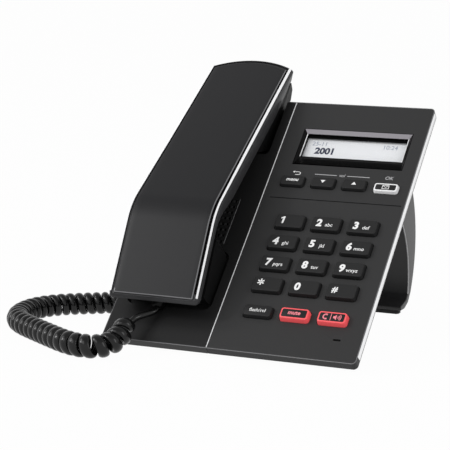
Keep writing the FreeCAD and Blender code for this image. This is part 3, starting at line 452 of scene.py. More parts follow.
def ring_finish(kind, drop, u, v):
    """The groove's painted shade and the painted highlight on its edge run along the right side, and fade
    into the body at the ends.
    """
    in_lines = drop < LINES_DROP
    at_ear = in_lines and v > LINES_V[1]
    at_left = in_lines and kind in (LIT, SHADE) and u < HS_U and v > LINES_V[0]
    if at_ear or at_left:
        return BACK
    # at the mouth the groove takes the side wall's lighter finish, painted light on the lip
    at_mouth = kind == SHADE and drop < UNDERCUT_LOW and v < LINES_V[0]
    return LIT_SIDE if at_mouth else kind


def handset_cover():
    inset, drop, mouth, _ = COVER_RINGS[0]
    plan = half_plan(inset, mouth)
    verts, faces, rows = [], [], []
    for x, v in plan[:-1]:
        rows.append([len(verts) + i for i in range(ACROSS + 1)])
        verts += row_across(x, v, drop)
    tip = len(verts)
    verts.append(surface(0, plan[-1][1], drop))
    for a, b in zip(rows, rows[1:]):
        faces += [(a[i], a[i + 1], b[i + 1], b[i]) for i in range(ACROSS)]
    faces += [(rows[-1][i], rows[-1][i + 1], tip) for i in range(ACROSS)]
    kinds = [BACK] * len(faces)
    loop = rows[0] + [r[-1] for r in rows[1:]] + [tip] + [r[0] for r in reversed(rows[1:])]
    n = len(loop)
    for inset, drop, mouth, kind in COVER_RINGS[1:]:
        plan = half_plan(inset, mouth)
        ring = row_across(plan[0][0], mouth, drop)
        ring += [wall_point(x, v, drop) for x, v in plan[1:]]
        ring += [wall_point(-x, v, drop) for x, v in reversed(plan[1:-1])]
        new = [len(verts) + i for i in range(n)]
        verts += ring
        faces += [(loop[i], new[i], new[(i + 1) % n], loop[(i + 1) % n]) for i in range(n)]
        kinds += [ring_finish(kind, drop, u, v) for u, v, _ in ring]
        loop = new
    faces.append(tuple(loop))
    kinds.append(SHADE)
    # finishes: the plastic, a painted edge highlight, painted shade in the grooves and painted light on the
    # side wall
    finishes = [HANDSET, EDGE_HIGHLIGHT, GROOVE_SHADE, HANDSET_LIT_SIDE]
    cover = piece("handset_cover", verts, faces, finishes, "handset", kinds, smooth=32)
    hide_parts("handset_back_shell")


def strip_section(v):
    """Inset and drop of the pale strip's corners at v."""
    wider = STRIP_WIDER * ramp(v, *STRIP_WIDENS_V)
    return [(inset + moves * wider, drop) for inset, drop, moves in STRIP_SECTION]


def handset_strips():
    low, high = STRIP_V
    verts, faces = [], []
    for side in (-1, 1):
        start = len(verts)
        for k in range(STRIP_STEPS + 1):
            v = low + (high - low) * k / STRIP_STEPS
            section = strip_section(v)
            verts += [surface(side * (HS_HALF - inset), v, drop) for inset, drop in section]
        m = len(section)
        for k in range(STRIP_STEPS):
            for j in range(m):
                a = start + k * m + j
                b = start + k * m + (j + 1) % m
                faces.append((a, a + m, b + m, b) if side > 0 else (a, b, b + m, a + m))
        faces.append(tuple(start + j for j in range(m)))
        faces.append(tuple(start + STRIP_STEPS * m + j for j in range(m)))
    # the strips' pale paint is a painted highlight along the handset's sides
    strips = piece("handset_strips", verts, faces, STRIP_HIGHLIGHT_PAINT, "handset")
    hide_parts("handset_trims")


handset_cover()
handset_strips()


# Handset face: the solid's face shell, with its grip narrowed towards the underside, and darker to paint the
# shade under the cover

GRIP_FROM_V, GRIP_TO_V, GRIP_X = (62.0, 70.0), (150.0, 128.0), (18.5, 24.5)
TAPER_FROM, TAPER_SLOPE, TAPER_MOST, TAPER_RIGHT = 8.0, 0.62, 7.5, 1.4


def handset_face():
    mesh = nodes["handset_face_shell"].data.copy()
    mesh.name = "handset_face"
    to_face = FACE.inverted()
    for vertex in mesh.vertices:
        u, v, h = to_face @ vertex.co
        x = u - HS_U
        drop = back_line(v)[0] - h
        share = ramp(abs(x), *GRIP_X) * min(ramp(v, *GRIP_FROM_V), ramp(v, *GRIP_TO_V))
        inset = min(TAPER_MOST, max(0.0, TAPER_SLOPE * (drop - TAPER_FROM)))
        if x > 0:
            inset += TAPER_RIGHT
        vertex.co = FACE @ Vector((u - math.copysign(inset * share, x), v, h))
    o = link("handset_face", mesh)
    nodes["handset_face"] = o
    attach(o, "handset")
    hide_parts("handset_face_shell")
    dress("handset_face", HANDSET_DARK_AND_SHADE, 0.4)


handset_face()


# Curly cord, whose route is measured from the foot of the face

ROUTE = [(-46.5, 12.624, 16.538), (-46.5, 10.79, 14.84), (-50.0, 6.9, 13.7), (-54.4, 2.0, 12.4),
         (-56.4, -4.6, 9.0), (-57.2, -12.6, 4.6), (-58.8, -20.4, 1.8), (-64.4, -26.8, 1.2),
         (-74.2, -27.4, 1.2), (-85.4, -23.0, 1.2), (-97.0, -15.8, 1.2), (-108.6, -8.2, 1.1),
         (-119.6, -0.9, 1.0), (-129.2, 5.6, 1.0), (-136.8, 13.2, 1.0), (-141.6, 23.4, 1.0),
         (-142.9, 35.2, 1.0), (-140.6, 45.4, 1.0), (-135.0, 54.0, 1.0), (-127.4, 60.8, 1.0),
         (-116.5, 66.8, 1.25), (-105.0, 72.0, 1.6), (-95.0, 77.2, 4.4), (-88.6, 82.4, 12.4),
         (-86.8, 86.0, 25.2), (-87.8, 87.0, 39.0), (-89.4, 87.0, 52.0), (-88.4, 87.02, 64.25),
         (-73.8, 87.02, 64.25)]
COIL_R, COIL_TURNS, COIL_FROM, COIL_TAIL, COIL_RAMP = 4.8, 34, 18.0, 80.0, 0.8
CORD_WIDE, CORD_THICK, CORD_LEAST, CORD_SIDES = 6.4, 3.7, 0.94, 14
PER_TURN, LEAD_STEPS, TAIL_STEPS = 36, 15, 59
OPEN_ALL, OPEN_FIRST, OPEN_POWER = 0.10, 0.03, 16


def route_points():
    """Fine points of the spline along the route, in millimetres of the row frame."""
    curve = bpy.data.curves.new("cord_route", "CURVE")
    curve.dimensions = "3D"
    spline = curve.splines.new("NURBS")
    spline.points.add(len(ROUTE) - 1)
    for point, (x, y, z) in zip(spline.points, ROUTE):
        point.co = (x * MM, (y + FRONT_Y) * MM, (z + FRONT_Z) * MM, 1)
    spline.order_u = 3
    spline.use_endpoint_u = True
    spline.resolution_u = 40
    o = link("cord_route", curve)
    mesh = bpy.data.meshes.new_from_object(o)
    points = np.array([v.co for v in mesh.vertices]) / MM
    bpy.data.objects.remove(o)
    bpy.data.meshes.remove(mesh)
    return points


def along_line(points, where):
    """Points at the given distances along a line of points, and the line's length."""
    steps = np.linalg.norm(np.diff(points, axis=0), axis=1)
    reach = np.concatenate(([0], np.cumsum(steps)))
    return np.stack([np.interp(where, reach, points[:, k]) for k in range(3)], 1), reach[-1]


def steady_sides(ahead):
    """A side of each direction that turns as little as it can from one to the next."""
    side = np.cross(ahead[0], (0, 0, 1.0))
    sides = []
    for t in ahead:
        side = side - t * (side @ t)
        side = side / np.linalg.norm(side)
        sides.append(side)
    return np.array(sides)


def cord_wire():
    """Middle of the wire, the way out of the coil at each point, and how far the coil has opened there."""
    route = route_points()
    total = along_line(route, [0])[1]
    coil_to = total - COIL_TAIL
    lead = np.linspace(0, COIL_FROM, LEAD_STEPS + 1)[:-1]
    tail = np.linspace(coil_to, total, TAIL_STEPS + 1)[1:]
    # the turns lie further apart at the handset's end than at the base's
    part = np.linspace(0, 1, COIL_TURNS * PER_TURN + 1)
    spread = part + OPEN_ALL * (part - part ** 2) + OPEN_FIRST * (1 - (1 - part) ** OPEN_POWER - part)
    coil = COIL_FROM + (coil_to - COIL_FROM) * spread
    centre = along_line(route, np.concatenate((lead, coil, tail)))[0]
    t = np.concatenate((lead * 0, part, tail * 0 + 1))
    ahead = directions(centre)
    side = steady_sides(ahead)
    rise = COIL_RAMP / COIL_TURNS
    opened = ease(np.minimum(1, np.minimum(t / rise, (1 - t) / rise)))
    angle = 2 * np.pi * COIL_TURNS * t
    out = side * np.cos(angle)[:, None] + np.cross(ahead, side) * np.sin(angle)[:, None]
    return centre + out * (COIL_R * opened)[:, None], out, opened


def oval(middle, out, half_out, side, half_side):
    """Section of the flat wire."""
    turn = [2 * math.pi * j / CORD_SIDES for j in range(CORD_SIDES)]
    return [middle + out * (half_out * math.cos(a)) + side * (half_side * math.sin(a)) for a in turn]


def curly_cord():
    wire, out, opened = cord_wire()
    tangent = directions(wire)
    radial = out - tangent * np.sum(out * tangent, 1)[:, None]
    radial /= np.linalg.norm(radial, axis=1)[:, None]
    across = np.cross(tangent, radial)
    # the flat wire is squeezed narrower where the turns close up on the inside of a bend
    room = np.full(len(wire), CORD_WIDE)
    apart = np.linalg.norm(wire[PER_TURN:] - wire[:-PER_TURN], axis=1) * CORD_LEAST
    room[PER_TURN:] = np.minimum(room[PER_TURN:], apart)
    room[:-PER_TURN] = np.minimum(room[:-PER_TURN], apart)
    half_wide = (CORD_THICK + (room - CORD_THICK) * opened) / 2
    rings = [oval(wire[k], radial[k], CORD_THICK / 2, across[k], half_wide[k]) for k in range(len(wire))]
    cord = piece("curly_lead", *stack(rings), CORD, None, at=ROOM, smooth=60)
    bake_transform(cord)
    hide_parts("curly_cord")


curly_cord()


# Base: side strips, rim, seam, grille and stand edges; the strips' pale metal and the thin beads are painted
# highlights

BASE_HALF, FACE_LEN, CORNER_R, SEAM_U = 75.0, 177.5, 2.5, -10.9
STRIP_IN, STRIP_OUT, STRIP_TOP, SMALL_CORNER_STEPS = 0.6, 0.3, 174.8, 2
RIM_IN, RIM_H, RIM_R, RIM_STEPS = 0.15, -0.18, 0.26, 8
CRADLE_GAP = (-69.2, -16.8)
SEAM_V, SEAM_H, SEAM_R = (0.5, 60.0, 120.0, 177.0), -0.05, 0.3
GRILLE_V, GRILLE_MID_V, GRILLE_EDGE, GRILLE_LINE_R = (70.0, 102.0), 86.0, -23.4, 0.16
GRILLE_BARS, GRILLE_STEP, GRILLE_FIRST = 13, 2.9, 0.9
BAR_HALF, BAR_R, BAR_H = 0.55, 0.3, (-1.7, -0.12)
STAND_HALF, STAND_AXIS, STAND_EDGE_R, STAND_BEAD_R = 51.9, (FRONT_Y + 101.0, FRONT_Z + 13.0), 55.6, 0.42
STAND_TURN, STAND_STEPS = (-9, 67), 38

# inset, lower end, inset at the top, corner radius and height of each ring of a side strip, bottom first
STRIP_RINGS = ((0.12, 5.6, 0.2, 0.2, -4.4), (0.0, 5.4, 0.0, 0.3, -4.25),
               (0.0, 5.0, 0.0, 0.3, -0.95), (0.25, 5.2, 0.2, 0.2, -0.6))


def side_strips():
    parts = []
    for side in (-1, 1):
        low, high = sorted((side * (BASE_HALF - STRIP_IN), side * (BASE_HALF + STRIP_OUT)))
        rings = []
        for inset, end, top_inset, radius, h in STRIP_RINGS:
            bounds = (low + inset, high - inset, end, STRIP_TOP - top_inset)
            rings.append(rounded(bounds, radius, h, SMALL_CORNER_STEPS))
        parts.append(stack(rings))
    # the strips' pale metal is a painted highlight along the base's sides
    strips = piece("side_strips", *join(parts), SIDE_STRIP_HIGHLIGHT, "base")
    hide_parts("side_trims")


def panel_lines():
    # the rim stops at the two sides of the cradle's open end
    face = (-BASE_HALF, BASE_HALF, 0, FACE_LEN)
    rim = rounded(shrink(face, RIM_IN), CORNER_R - RIM_IN, RIM_H, RIM_STEPS)
    gap = [(u, FACE_LEN - RIM_IN, RIM_H) for u in CRADLE_GAP]
    right_half = 2 * (RIM_STEPS + 1)
    # the rim's bead paints a highlight along the face's edge
    piece("panel_rim", *bead(gap[:1] + rim[right_half:] + rim[:right_half] + gap[1:], RIM_R), EDGE_HIGHLIGHT, "base")
    # the seam's bead paints a highlight along the seam
    piece("seam_bead", *bead([(SEAM_U, v, SEAM_H) for v in SEAM_V], SEAM_R), PALE_HIGHLIGHT, "base")


def grille():
    bars = []
    for k in range(GRILLE_BARS):
        u = GRILLE_EDGE - GRILLE_FIRST - k * GRILLE_STEP
        bar = (u - BAR_HALF, u + BAR_HALF, *GRILLE_V)
        bars.append(stack([rounded(bar, BAR_R, h, SMALL_CORNER_STEPS) for h in BAR_H]))
    piece("grille_bars", *join(bars), PANEL, "base")
    # the line beside the grille is a bead that paints a highlight on the slots' edge
    line = [(GRILLE_EDGE, v, 0.0) for v in (GRILLE_V[0], GRILLE_MID_V, GRILLE_V[1])]
    piece("grille_line", *bead(line, GRILLE_LINE_R), EDGE_HIGHLIGHT, "base")


def stand_edges():
    # pale beads along the stand's sides paint a highlight on their edges
    line = arc(STAND_EDGE_R, *STAND_TURN, STAND_STEPS, *STAND_AXIS)
    edges = []
    for side in (-1, 1):
        edges.append(bead([(side * STAND_HALF, y, z) for y, z in line], STAND_BEAD_R, normal=(1.0, 0, 0)))
    piece("stand_edges", *join(edges), STAND_EDGE_HIGHLIGHT, "base", at=ROOM)


side_strips()
panel_lines()
grille()
stand_edges()


# Key grid: columns and rows of the number keys, and the row of keys under the display

COLUMN_FIRST, COLUMN_STEP, ROW_FIRST, ROW_STEP = 12.1, 21.75, 88.0, 14.7
NAV_FIRST, NAV_STEP, NAV_V = 4.6, 18.75, 117.5
COLUMNS = [COLUMN_FIRST + COLUMN_STEP * k for k in range(3)]
ROWS = [ROW_FIRST - ROW_STEP * k for k in range(4)]
NAV_U = [NAV_FIRST + NAV_STEP * k for k in range(4)]


# Function keys: translucent frames with black caps, and the plain key beside them

FUNCTION_W, FUNCTION_D, FUNCTION_H, FUNCTION_V = 16.9, 7.6, 2.95, 26.0
FLASH_U, MUTE_U, SPEAKER_U = 12.0, 33.65, 55.4
FLASH_H, OK_PLACE, OK_W, OK_D, OK_H = 2.5, (61.3, 116.6), 14.6, 6.4, 1.95
KEY_DRAFT, KEY_FOOT_R, KEY_FOOT_H = 0.45, 1.7, (-2.4, 0.0)
CAP_INSET, CAP_PROUD = 0.85, 0.1
CLEAR, COLLAR_GAP, COLLAR_R, COLLAR_H = 0.3, 0.02, 1.9, (-1.6, -0.01)

# inset, corner radius and drop of each ring round a key's top, and round its cap
TOP_RINGS = ((0.0, 1.4, 0.3), (0.1, 1.3, 0.08), (0.32, 1.1, 0.0))
CAP_RINGS = ((0.0, 0.8, 0.6), (0.0, 0.8, -0.02), (0.15, 0.65, -CAP_PROUD))

# middle, size and height of each key, and middle and size of its hole in the solid panel
FUNCTION_KEYS = {"flash": (FLASH_U, FUNCTION_V, FUNCTION_W, FUNCTION_D, FLASH_H),
                 "mute": (MUTE_U, FUNCTION_V, FUNCTION_W, FUNCTION_D, FUNCTION_H),
                 "speaker": (SPEAKER_U, FUNCTION_V, FUNCTION_W, FUNCTION_D, FUNCTION_H),
                 "ok": (*OK_PLACE, OK_W, OK_D, OK_H)}
HOLE_V = 25.5
HOLE_OF = {"flash": (COLUMNS[0], HOLE_V, 18.2, 10.7), "mute": (COLUMNS[1], HOLE_V, 19.1, 11.1),
           "speaker": (COLUMNS[2], HOLE_V, 19.1, 11.1), "ok": (NAV_U[3], NAV_V, 15.2, 8.3)}


def collar(hole, foot):
    """Plate that fills a key's hole up to the key."""
    outer = rounded(shrink(around(*hole), COLLAR_GAP), COLLAR_R, 0.0)
    inner = rounded(shrink(foot, -CLEAR), COLLAR_R, 0.0)
    n = len(outer)
    skin = [(x, y, h) for h in COLLAR_H for ring in (outer, inner) for x, y, _ in ring]
    faces = []
    for j in range(n):
        i = (j + 1) % n
        faces += [(2 * n + j, 2 * n + i, 3 * n + i, 3 * n + j), (n + j, n + i, i, j),
                  (j, i, 2 * n + i, 2 * n + j), (n + i, n + j, 3 * n + j, 3 * n + i)]
    return skin, faces


def rings_below(high, bounds, rings):
    """Rounded rings by inset, corner radius and drop from a height."""
    return [rounded(shrink(bounds, inset), radius, high - drop) for inset, radius, drop in rings]


def function_keys():
    collars = []
    for name, (u, v, w, d, high) in FUNCTION_KEYS.items():
        foot = around(u, v, w, d)
        top = shrink(foot, KEY_DRAFT)
        rings = [rounded(foot, KEY_FOOT_R, h) for h in KEY_FOOT_H] + rings_below(high, top, TOP_RINGS)
        finish = {"flash": KEY, "ok": WHITE}.get(name, RED)
        key = piece(name + "_key", *stack(rings), finish, "key_" + name, smooth=50)
        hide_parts("key_" + name)
        if name != "flash":
            rings = rings_below(high, shrink(top, CAP_INSET), CAP_RINGS)
            cap = piece(name + "_cap", *stack(rings), KEY, "key_" + name, smooth=50)
            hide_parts(name + "_key_cap")
        collars.append(collar(HOLE_OF[name], foot))
    piece("key_collars", *join(collars), PANEL, "base")


function_keys()


# Rubber pads under the front edge, set back from it

PAD_U, PAD_HALF, PAD_Y = 58.0, 11.0, (13.4, 18.0)
PAD_R, PAD_SLANT, PAD_TOP = 2.0, 0.4, 2.3


def front_pads():
    parts = []
    for u in (-PAD_U, PAD_U):
        foot = (u - PAD_HALF, u + PAD_HALF, FRONT_Y + PAD_Y[0], FRONT_Y + PAD_Y[1])
        parts.append(stack([rounded(shrink(foot, PAD_SLANT), PAD_R - PAD_SLANT, 0.0),
                            rounded(foot, PAD_R, PAD_SLANT), rounded(foot, PAD_R, PAD_TOP)]))
    pads = piece("front_pads", *join(parts), RUBBER, "base", at=ROOM)
    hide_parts("front_feet")


front_pads()


# Display: a frame that slopes in to a black lip, a black mask over its top that is partly the frame's inner
# step and partly painted shade, and the glass

FRAME_OUTER, FRAME_RIM = (0.05, 66.95, 130.55, 157.65), (0.5, 66.5, 131.0, 157.3)
FRAME_INNER, FRAME_LIP = (2.2, 64.8, 137.6, 154.8), (2.75, 64.25, 137.75, 154.7)
FRAME_LEVELS = ((FRAME_OUTER, -1.0), (FRAME_OUTER, 0.0), (FRAME_RIM, 0.02), (FRAME_INNER, -1.3),
                (FRAME_LIP, -1.35), (FRAME_LIP, -4.0))
FRAME_SLOPE, FRAME_STEP, FRAME_ROUND = 2, 3, 0.1
MASK_V, MASK_H = 152.9, -3.0
GLASS, GLASS_H = (1.8, 65.2, 137.0, 154.0), (-3.3, -3.1)


def frame_finish(level, side):
    """Grey slope above the display, a painted reflection; bright steps at its right and left (sides 1 and
    3), painted highlights; black elsewhere.
    """
    if level == FRAME_SLOPE and side == 2:
        return 1
    return 2 if level == FRAME_STEP and side in (1, 3) else 0


def display_frame():
    verts = [p for bounds, h in FRAME_LEVELS for p in rect(bounds, h)]
    faces, mats = [], []
    for level in range(len(FRAME_LEVELS) - 1):
        for k in range(4):
            a, b = level * 4 + k, level * 4 + (k + 1) % 4
            faces.append((a, b, b + 4, a + 4))
            mats.append(frame_finish(level, k))
    # the mask is a black sheet over the display's top, partly the frame's black inner step and partly
    # painted shade
    verts += rect((*FRAME_LIP[:2], MASK_V, FRAME_LIP[3]), MASK_H)
    faces.append(tuple(range(len(verts) - 4, len(verts))))
    mats.append(0)
    bezel = piece("display_frame", verts, faces, [BEZEL, BEZEL_TOP_REFLECTION, PALE_HIGHLIGHT], "base", mats, smooth=20)
    bevel = bezel.modifiers.new("round", "BEVEL")
    bevel.width = FRAME_ROUND * MM
    bevel.segments = 2
    bevel.limit_method = "ANGLE"
    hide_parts("display_bezel")


def display_glass():
    window = piece("display_glass", *stack([rect(GLASS, h) for h in GLASS_H]), WINDOW, "base")
    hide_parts("display_window")


display_frame()
display_glass()


# Legends

LIFT = 0.03
KEY_TOP, NAV_TOP = 2.5 + LIFT, 2.0 + LIFT
CAP_TOP, OK_TOP = FUNCTION_H + CAP_PROUD + LIFT, OK_H + CAP_PROUD + LIFT
LCD_TOP = -4.15
LETTERS = ("", "abc", "def", "ghi", "jkl", "mno", "pqrs", "tuv", "wxyz")
SIGN_SIDE, LETTERS_SIDE, TEXT_LOW = -3.9, 2.1, -2.1
DIGIT_SIZE, DIGIT_BOLD, LETTERS_SIZE, LETTERS_BOLD = 6.5, 0.30, 3.3, 0.03
HASH_LOW, HASH_SIZE, HASH_BOLD = -1.4, 5.2, 0.16
STAR_UP, STAR_R, STAR_LINE = 0.9, 2.1, 0.8
UPRIGHT, LEANING = 0.05, 0.15
ONE = ((-0.55, 0), (0.6, 0), (0.85, 4.75), (-0.1, 4.75), (-1.5, 3.9), (-1.3, 3.0), (-0.4, 3.4))


class Inks:
    """Flat printed marks of one body, gathered into one mesh at one height."""

    def __init__(self, name, body, mats, h):
        self.name, self.body, self.mats, self.h = name, body, mats, h
        self.verts, self.faces, self.which = [], [], []

    def add(self, points, faces, ink):
        start = len(self.verts)
        self.verts += [(x, y, self.h) for x, y in points]
        self.faces += [tuple(start + i for i in f) for f in faces]
        self.which += [ink] * len(faces)

    def text(self, words, u, v, size, ink=0, slant=0.0, bold=0.0, align="CENTER"):
        curve = bpy.data.curves.new("words", "FONT")
        curve.body = words
        curve.size = size
        curve.shear = slant
        curve.offset = bold
        curve.align_x = align
        curve.resolution_u = 4
        o = link("words", curve)
        mesh = bpy.data.meshes.new_from_object(o)
        points = [(u + p.co.x, v + p.co.y) for p in mesh.vertices]
        self.add(points, [tuple(p.vertices) for p in mesh.polygons], ink)
        bpy.data.objects.remove(o)
        bpy.data.meshes.remove(mesh)
        bpy.data.curves.remove(curve)

    def shape(self, points, u, v):
        self.add([(u + x, v + y) for x, y in points], [tuple(range(len(points)))], 0)

    def stroke(self, points, width, u, v, ink=0):
        """A line of even width through points."""
        p = np.array(points, float)
        d = directions(p)
        n = np.stack((-d[:, 1], d[:, 0]), 1) * width / 2
        m = len(p)
        sides = [(u + x, v + y) for x, y in np.concatenate((p + n, p - n))]
        self.add(sides, [(k + m, k + 1 + m, k + 1, k) for k in range(m - 1)], ink)

    def done(self):
        piece(self.name, self.verts, self.faces, self.mats, self.body, self.which)


def key_ink(name, mat, h):
    return Inks("legend_" + name, "key_" + name, mat, h)


def number_legends():
    for k, name in enumerate(NUMBER_KEYS):
        u, v = COLUMNS[k % 3], ROWS[k // 3]
        ink = key_ink(name, PRINT, KEY_TOP)
        if name == "star":
            for turn in (90, 30, 150):
                dx, dy = STAR_R * math.cos(math.radians(turn)), STAR_R * math.sin(math.radians(turn))
                ink.stroke([(-dx, -dy), (0, 0), (dx, dy)], STAR_LINE, u + SIGN_SIDE, v + STAR_UP)
        elif name == "hash":
            ink.text("#", u + SIGN_SIDE, v + HASH_LOW, HASH_SIZE, slant=UPRIGHT, bold=HASH_BOLD)
        elif name == "1":
            ink.shape(ONE, u + SIGN_SIDE, v + TEXT_LOW)
        else:
            ink.text(name, u + SIGN_SIDE, v + TEXT_LOW, DIGIT_SIZE, slant=UPRIGHT, bold=DIGIT_BOLD)
        if k < len(LETTERS) and LETTERS[k]:
            place = (u + LETTERS_SIDE, v + TEXT_LOW)
            ink.text(LETTERS[k], *place, LETTERS_SIZE, slant=UPRIGHT, bold=LETTERS_BOLD)
        ink.done()


def speaker_legend():
    """A handset, a dividing line and a loudspeaker with its waves."""
    u, v = SPEAKER_U, FUNCTION_V
    ink = key_ink("speaker", PRINT_LIT, CAP_TOP)
    ink.stroke([(-0.6, -2.3), (-0.6, 0), (-0.6, 2.3)], 0.35, u, v)
    ink.stroke(arc(1.5, 100, 260), 0.75, u - 3.4, v)
    ink.shape([(-4.0, 1.1), (-2.8, 0.8), (-2.6, 1.8), (-3.8, 2.0)], u, v)
    ink.shape([(-3.8, -2.0), (-2.6, -1.8), (-2.8, -0.8), (-4.0, -1.1)], u, v)
    ink.shape([(0.8, -0.7), (1.6, -0.7), (2.6, -1.7), (2.6, 1.7), (1.6, 0.7), (0.8, 0.7)], u, v)
    for r in (0.9, 1.7, 2.5):
        ink.stroke(arc(r, -45, 45, 8, 2.7), 0.4, u, v)
    ink.done()


def function_legends():
    ink = key_ink("flash", PRINT, KEY_TOP)
    ink.text("flash/rcl", FLASH_U, FUNCTION_V - 0.9, 3.1, slant=UPRIGHT, bold=0.02)
    ink.done()
    ink = key_ink("mute", PRINT_LIT, CAP_TOP)
    ink.text("mute", MUTE_U, FUNCTION_V - 0.8, 3.5, slant=UPRIGHT, bold=0.1)
    ink.done()
    speaker_legend()


def menu_legends():
    """The menu word, the two arrows, and the envelope on the OK key."""
    ink = key_ink("menu", PRINT, NAV_TOP)
    ink.text("menu", NAV_U[0], NAV_V - 0.7, 3.3, slant=LEANING, bold=0.08)
    ink.done()
    for name, u, way in (("down", NAV_U[1], -1), ("up", NAV_U[2], 1)):
        ink = key_ink(name, PRINT, NAV_TOP)
        corners = [(-1.5, -0.9 * way), (1.5, -0.9 * way), (0, 1.1 * way)]
        ink.shape(corners if way > 0 else corners[::-1], u, NAV_V + 0.3)
        ink.done()
    ink = key_ink("ok", PRINT, OK_TOP)
    for line in ([(-2.0, -1.2), (2.0, -1.2)], [(-2.0, 1.2), (2.0, 1.2)], [(-1.9, -1.3), (-1.9, 1.3)],
                 [(1.9, -1.3), (1.9, 1.3)], [(-1.8, 1.1), (0, -0.2), (1.8, 1.1)]):
        ink.stroke(line, 0.35, *OK_PLACE)
    ink.done()


def panel_print():
    """The back arrow, the volume line and the word over the OK key."""
    ink = Inks("panel_print", "base", [PRINT, PRINT_DIM], LIFT)
    u, v = NAV_U[0] + 0.6, NAV_V + 6.6
    hook = [(-2.0, 0.9), (1.0, 0.9)] + arc(1.0, 90, -90, 10, 1.0, -0.1) + [(-0.9, -1.1)]
    ink.stroke(hook, 0.42, u, v)
    ink.shape([(-2.9, 0.9), (-1.7, 0.1), (-1.7, 1.7)], u, v)
    u = (NAV_U[1] + NAV_U[2]) / 2
    ink.text("vol", u, v - 0.8, 2.9, 1, slant=LEANING, bold=0.03)
    ink.stroke([(-16.6, 0), (-3.2, 0)], 0.45, u, v, 1)
    ink.stroke([(3.2, 0), (16.6, 0)], 0.45, u, v, 1)
    ink.text("OK", NAV_U[3], NAV_V + 6.0, 3.3, 1, slant=LEANING, bold=0.04)
    ink.done()


def lcd_marks():
    """Plain digits on the display."""
    ink = Inks("lcd_marks", "base", [LCD_INK, LCD_FAINT], LCD_TOP)
    ink.text("25-11", 6.0, 148.6, 4.2, 1, bold=0.03, align="LEFT")
    ink.text("10:24", 54.0, 148.6, 4.2, 1, bold=0.03)
    ink.text("2001", 9.0, 142.7, 6.2, bold=0.3, align="LEFT")
    ink.done()


number_legends()
function_legends()
menu_legends()
panel_print()
lcd_marks()


# Floor, light and background

LIT_STRENGTH = 0.72
CEILING_FROM, CEILING_TO, CEILING_STRENGTH = 0.45, 0.95, 0.5
FLOOR_GREY, FLOOR_WHITE, FLOOR_HALF = 0.55, 0.975, 12

# place, aim, width, height and power of each lamp, in metres and watts
SOFTBOXES = {"front": ((-0.62, -1.05, 1.05), (0, 0, 0.08), 0.9, 0.7, 3.7),
             "spot": ((-1.1, -0.75, 0.85), (-0.06, 0, 0.04), 0.12, 0.35, 4.2),
             "left": ((-1.1, -0.35, 0.75), (0, 0, 0.05), 0.2, 0.8, 2.4),
             "right": ((1.15, -0.35, 0.62), (0, 0, 0.06), 0.3, 0.9, 2.6)}


def light_path_mix(tree, seen, lit):
    """One shader as seen by the camera, in reflections and through glass, and another to all other light."""
    path = tree.nodes.new("ShaderNodeLightPath")
    is_seen = path.outputs["Is Camera Ray"]
    for name in ("Is Glossy Ray", "Is Transmission Ray"):
        either = tree.nodes.new("ShaderNodeMath")
        either.operation = "MAXIMUM"
        tree.links.new(is_seen, either.inputs[0])
        tree.links.new(path.outputs[name], either.inputs[1])
        is_seen = either.outputs[0]
    mix = tree.nodes.new("ShaderNodeMixShader")
    tree.links.new(is_seen, mix.inputs[0])
    tree.links.new(lit, mix.inputs[1])
    tree.links.new(seen, mix.inputs[2])
    return mix.outputs[0]


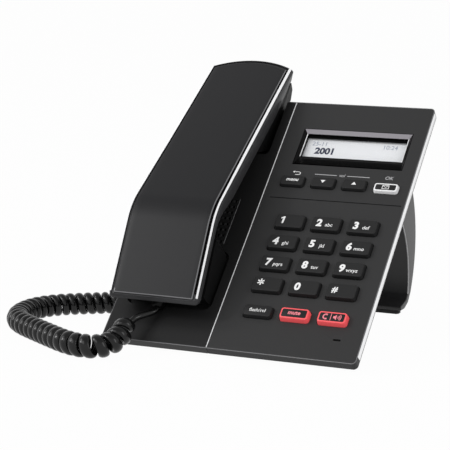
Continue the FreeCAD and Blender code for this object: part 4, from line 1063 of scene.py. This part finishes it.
def studio_world():
    """White walls, with a ceiling that is darker where it is seen."""
    world = bpy.data.worlds.new("studio")
    bpy.context.scene.world = world
    world.use_nodes = True
    tree = world.node_tree
    tree.nodes.clear()
    lit = tree.nodes.new("ShaderNodeBackground")
    lit.inputs["Color"].default_value = (1, 1, 1, 1)
    lit.inputs["Strength"].default_value = LIT_STRENGTH
    seen = tree.nodes.new("ShaderNodeBackground")
    seen.inputs["Color"].default_value = (1, 1, 1, 1)
    where = tree.nodes.new("ShaderNodeTexCoord")
    split = tree.nodes.new("ShaderNodeSeparateXYZ")
    ceiling = tree.nodes.new("ShaderNodeMapRange")
    ceiling.inputs["From Min"].default_value = CEILING_FROM
    ceiling.inputs["From Max"].default_value = CEILING_TO
    ceiling.inputs["To Min"].default_value = 1.0
    ceiling.inputs["To Max"].default_value = CEILING_STRENGTH
    tree.links.new(where.outputs["Generated"], split.inputs[0])
    tree.links.new(split.outputs["Z"], ceiling.inputs["Value"])
    tree.links.new(ceiling.outputs["Result"], seen.inputs["Strength"])
    out = tree.nodes.new("ShaderNodeOutputWorld")
    tree.links.new(light_path_mix(tree, seen.outputs[0], lit.outputs[0]), out.inputs["Surface"])


def white_floor():
    """Floor that is seen as white with a faint shadow, and lights the object as a grey one."""
    mat = bpy.data.materials.new("floor")
    mat.use_nodes = True
    tree = mat.node_tree
    tree.nodes.clear()
    matte = tree.nodes.new("ShaderNodeBsdfDiffuse")
    matte.inputs["Color"].default_value = (FLOOR_GREY, FLOOR_GREY, FLOOR_GREY, 1)
    white = tree.nodes.new("ShaderNodeEmission")
    white.inputs["Strength"].default_value = 1.0
    veil = tree.nodes.new("ShaderNodeMixShader")
    veil.inputs[0].default_value = FLOOR_WHITE
    tree.links.new(matte.outputs[0], veil.inputs[1])
    tree.links.new(white.outputs[0], veil.inputs[2])
    out = tree.nodes.new("ShaderNodeOutputMaterial")
    tree.links.new(light_path_mix(tree, veil.outputs[0], matte.outputs[0]), out.inputs["Surface"])
    mesh = bpy.data.meshes.new("floor")
    mesh.from_pydata(rect((-FLOOR_HALF, FLOOR_HALF, -FLOOR_HALF, FLOOR_HALF), 0), [], [(0, 1, 2, 3)])
    mesh.materials.append(mat)
    floor = link("floor", mesh)


def softbox(name, at, aim, width, height, power):
    data = bpy.data.lights.new(name, "AREA")
    data.shape = "RECTANGLE"
    data.size, data.size_y = width, height
    data.energy = power
    o = link(name, data)
    o.location = at
    o.rotation_mode = "QUATERNION"
    o.rotation_quaternion = (Vector(aim) - Vector(at)).to_track_quat("-Z", "Y")


studio_world()
white_floor()
for name, setting in SOFTBOXES.items():
    softbox(name, *setting)

bpy.context.scene.view_settings.view_transform = "Standard"
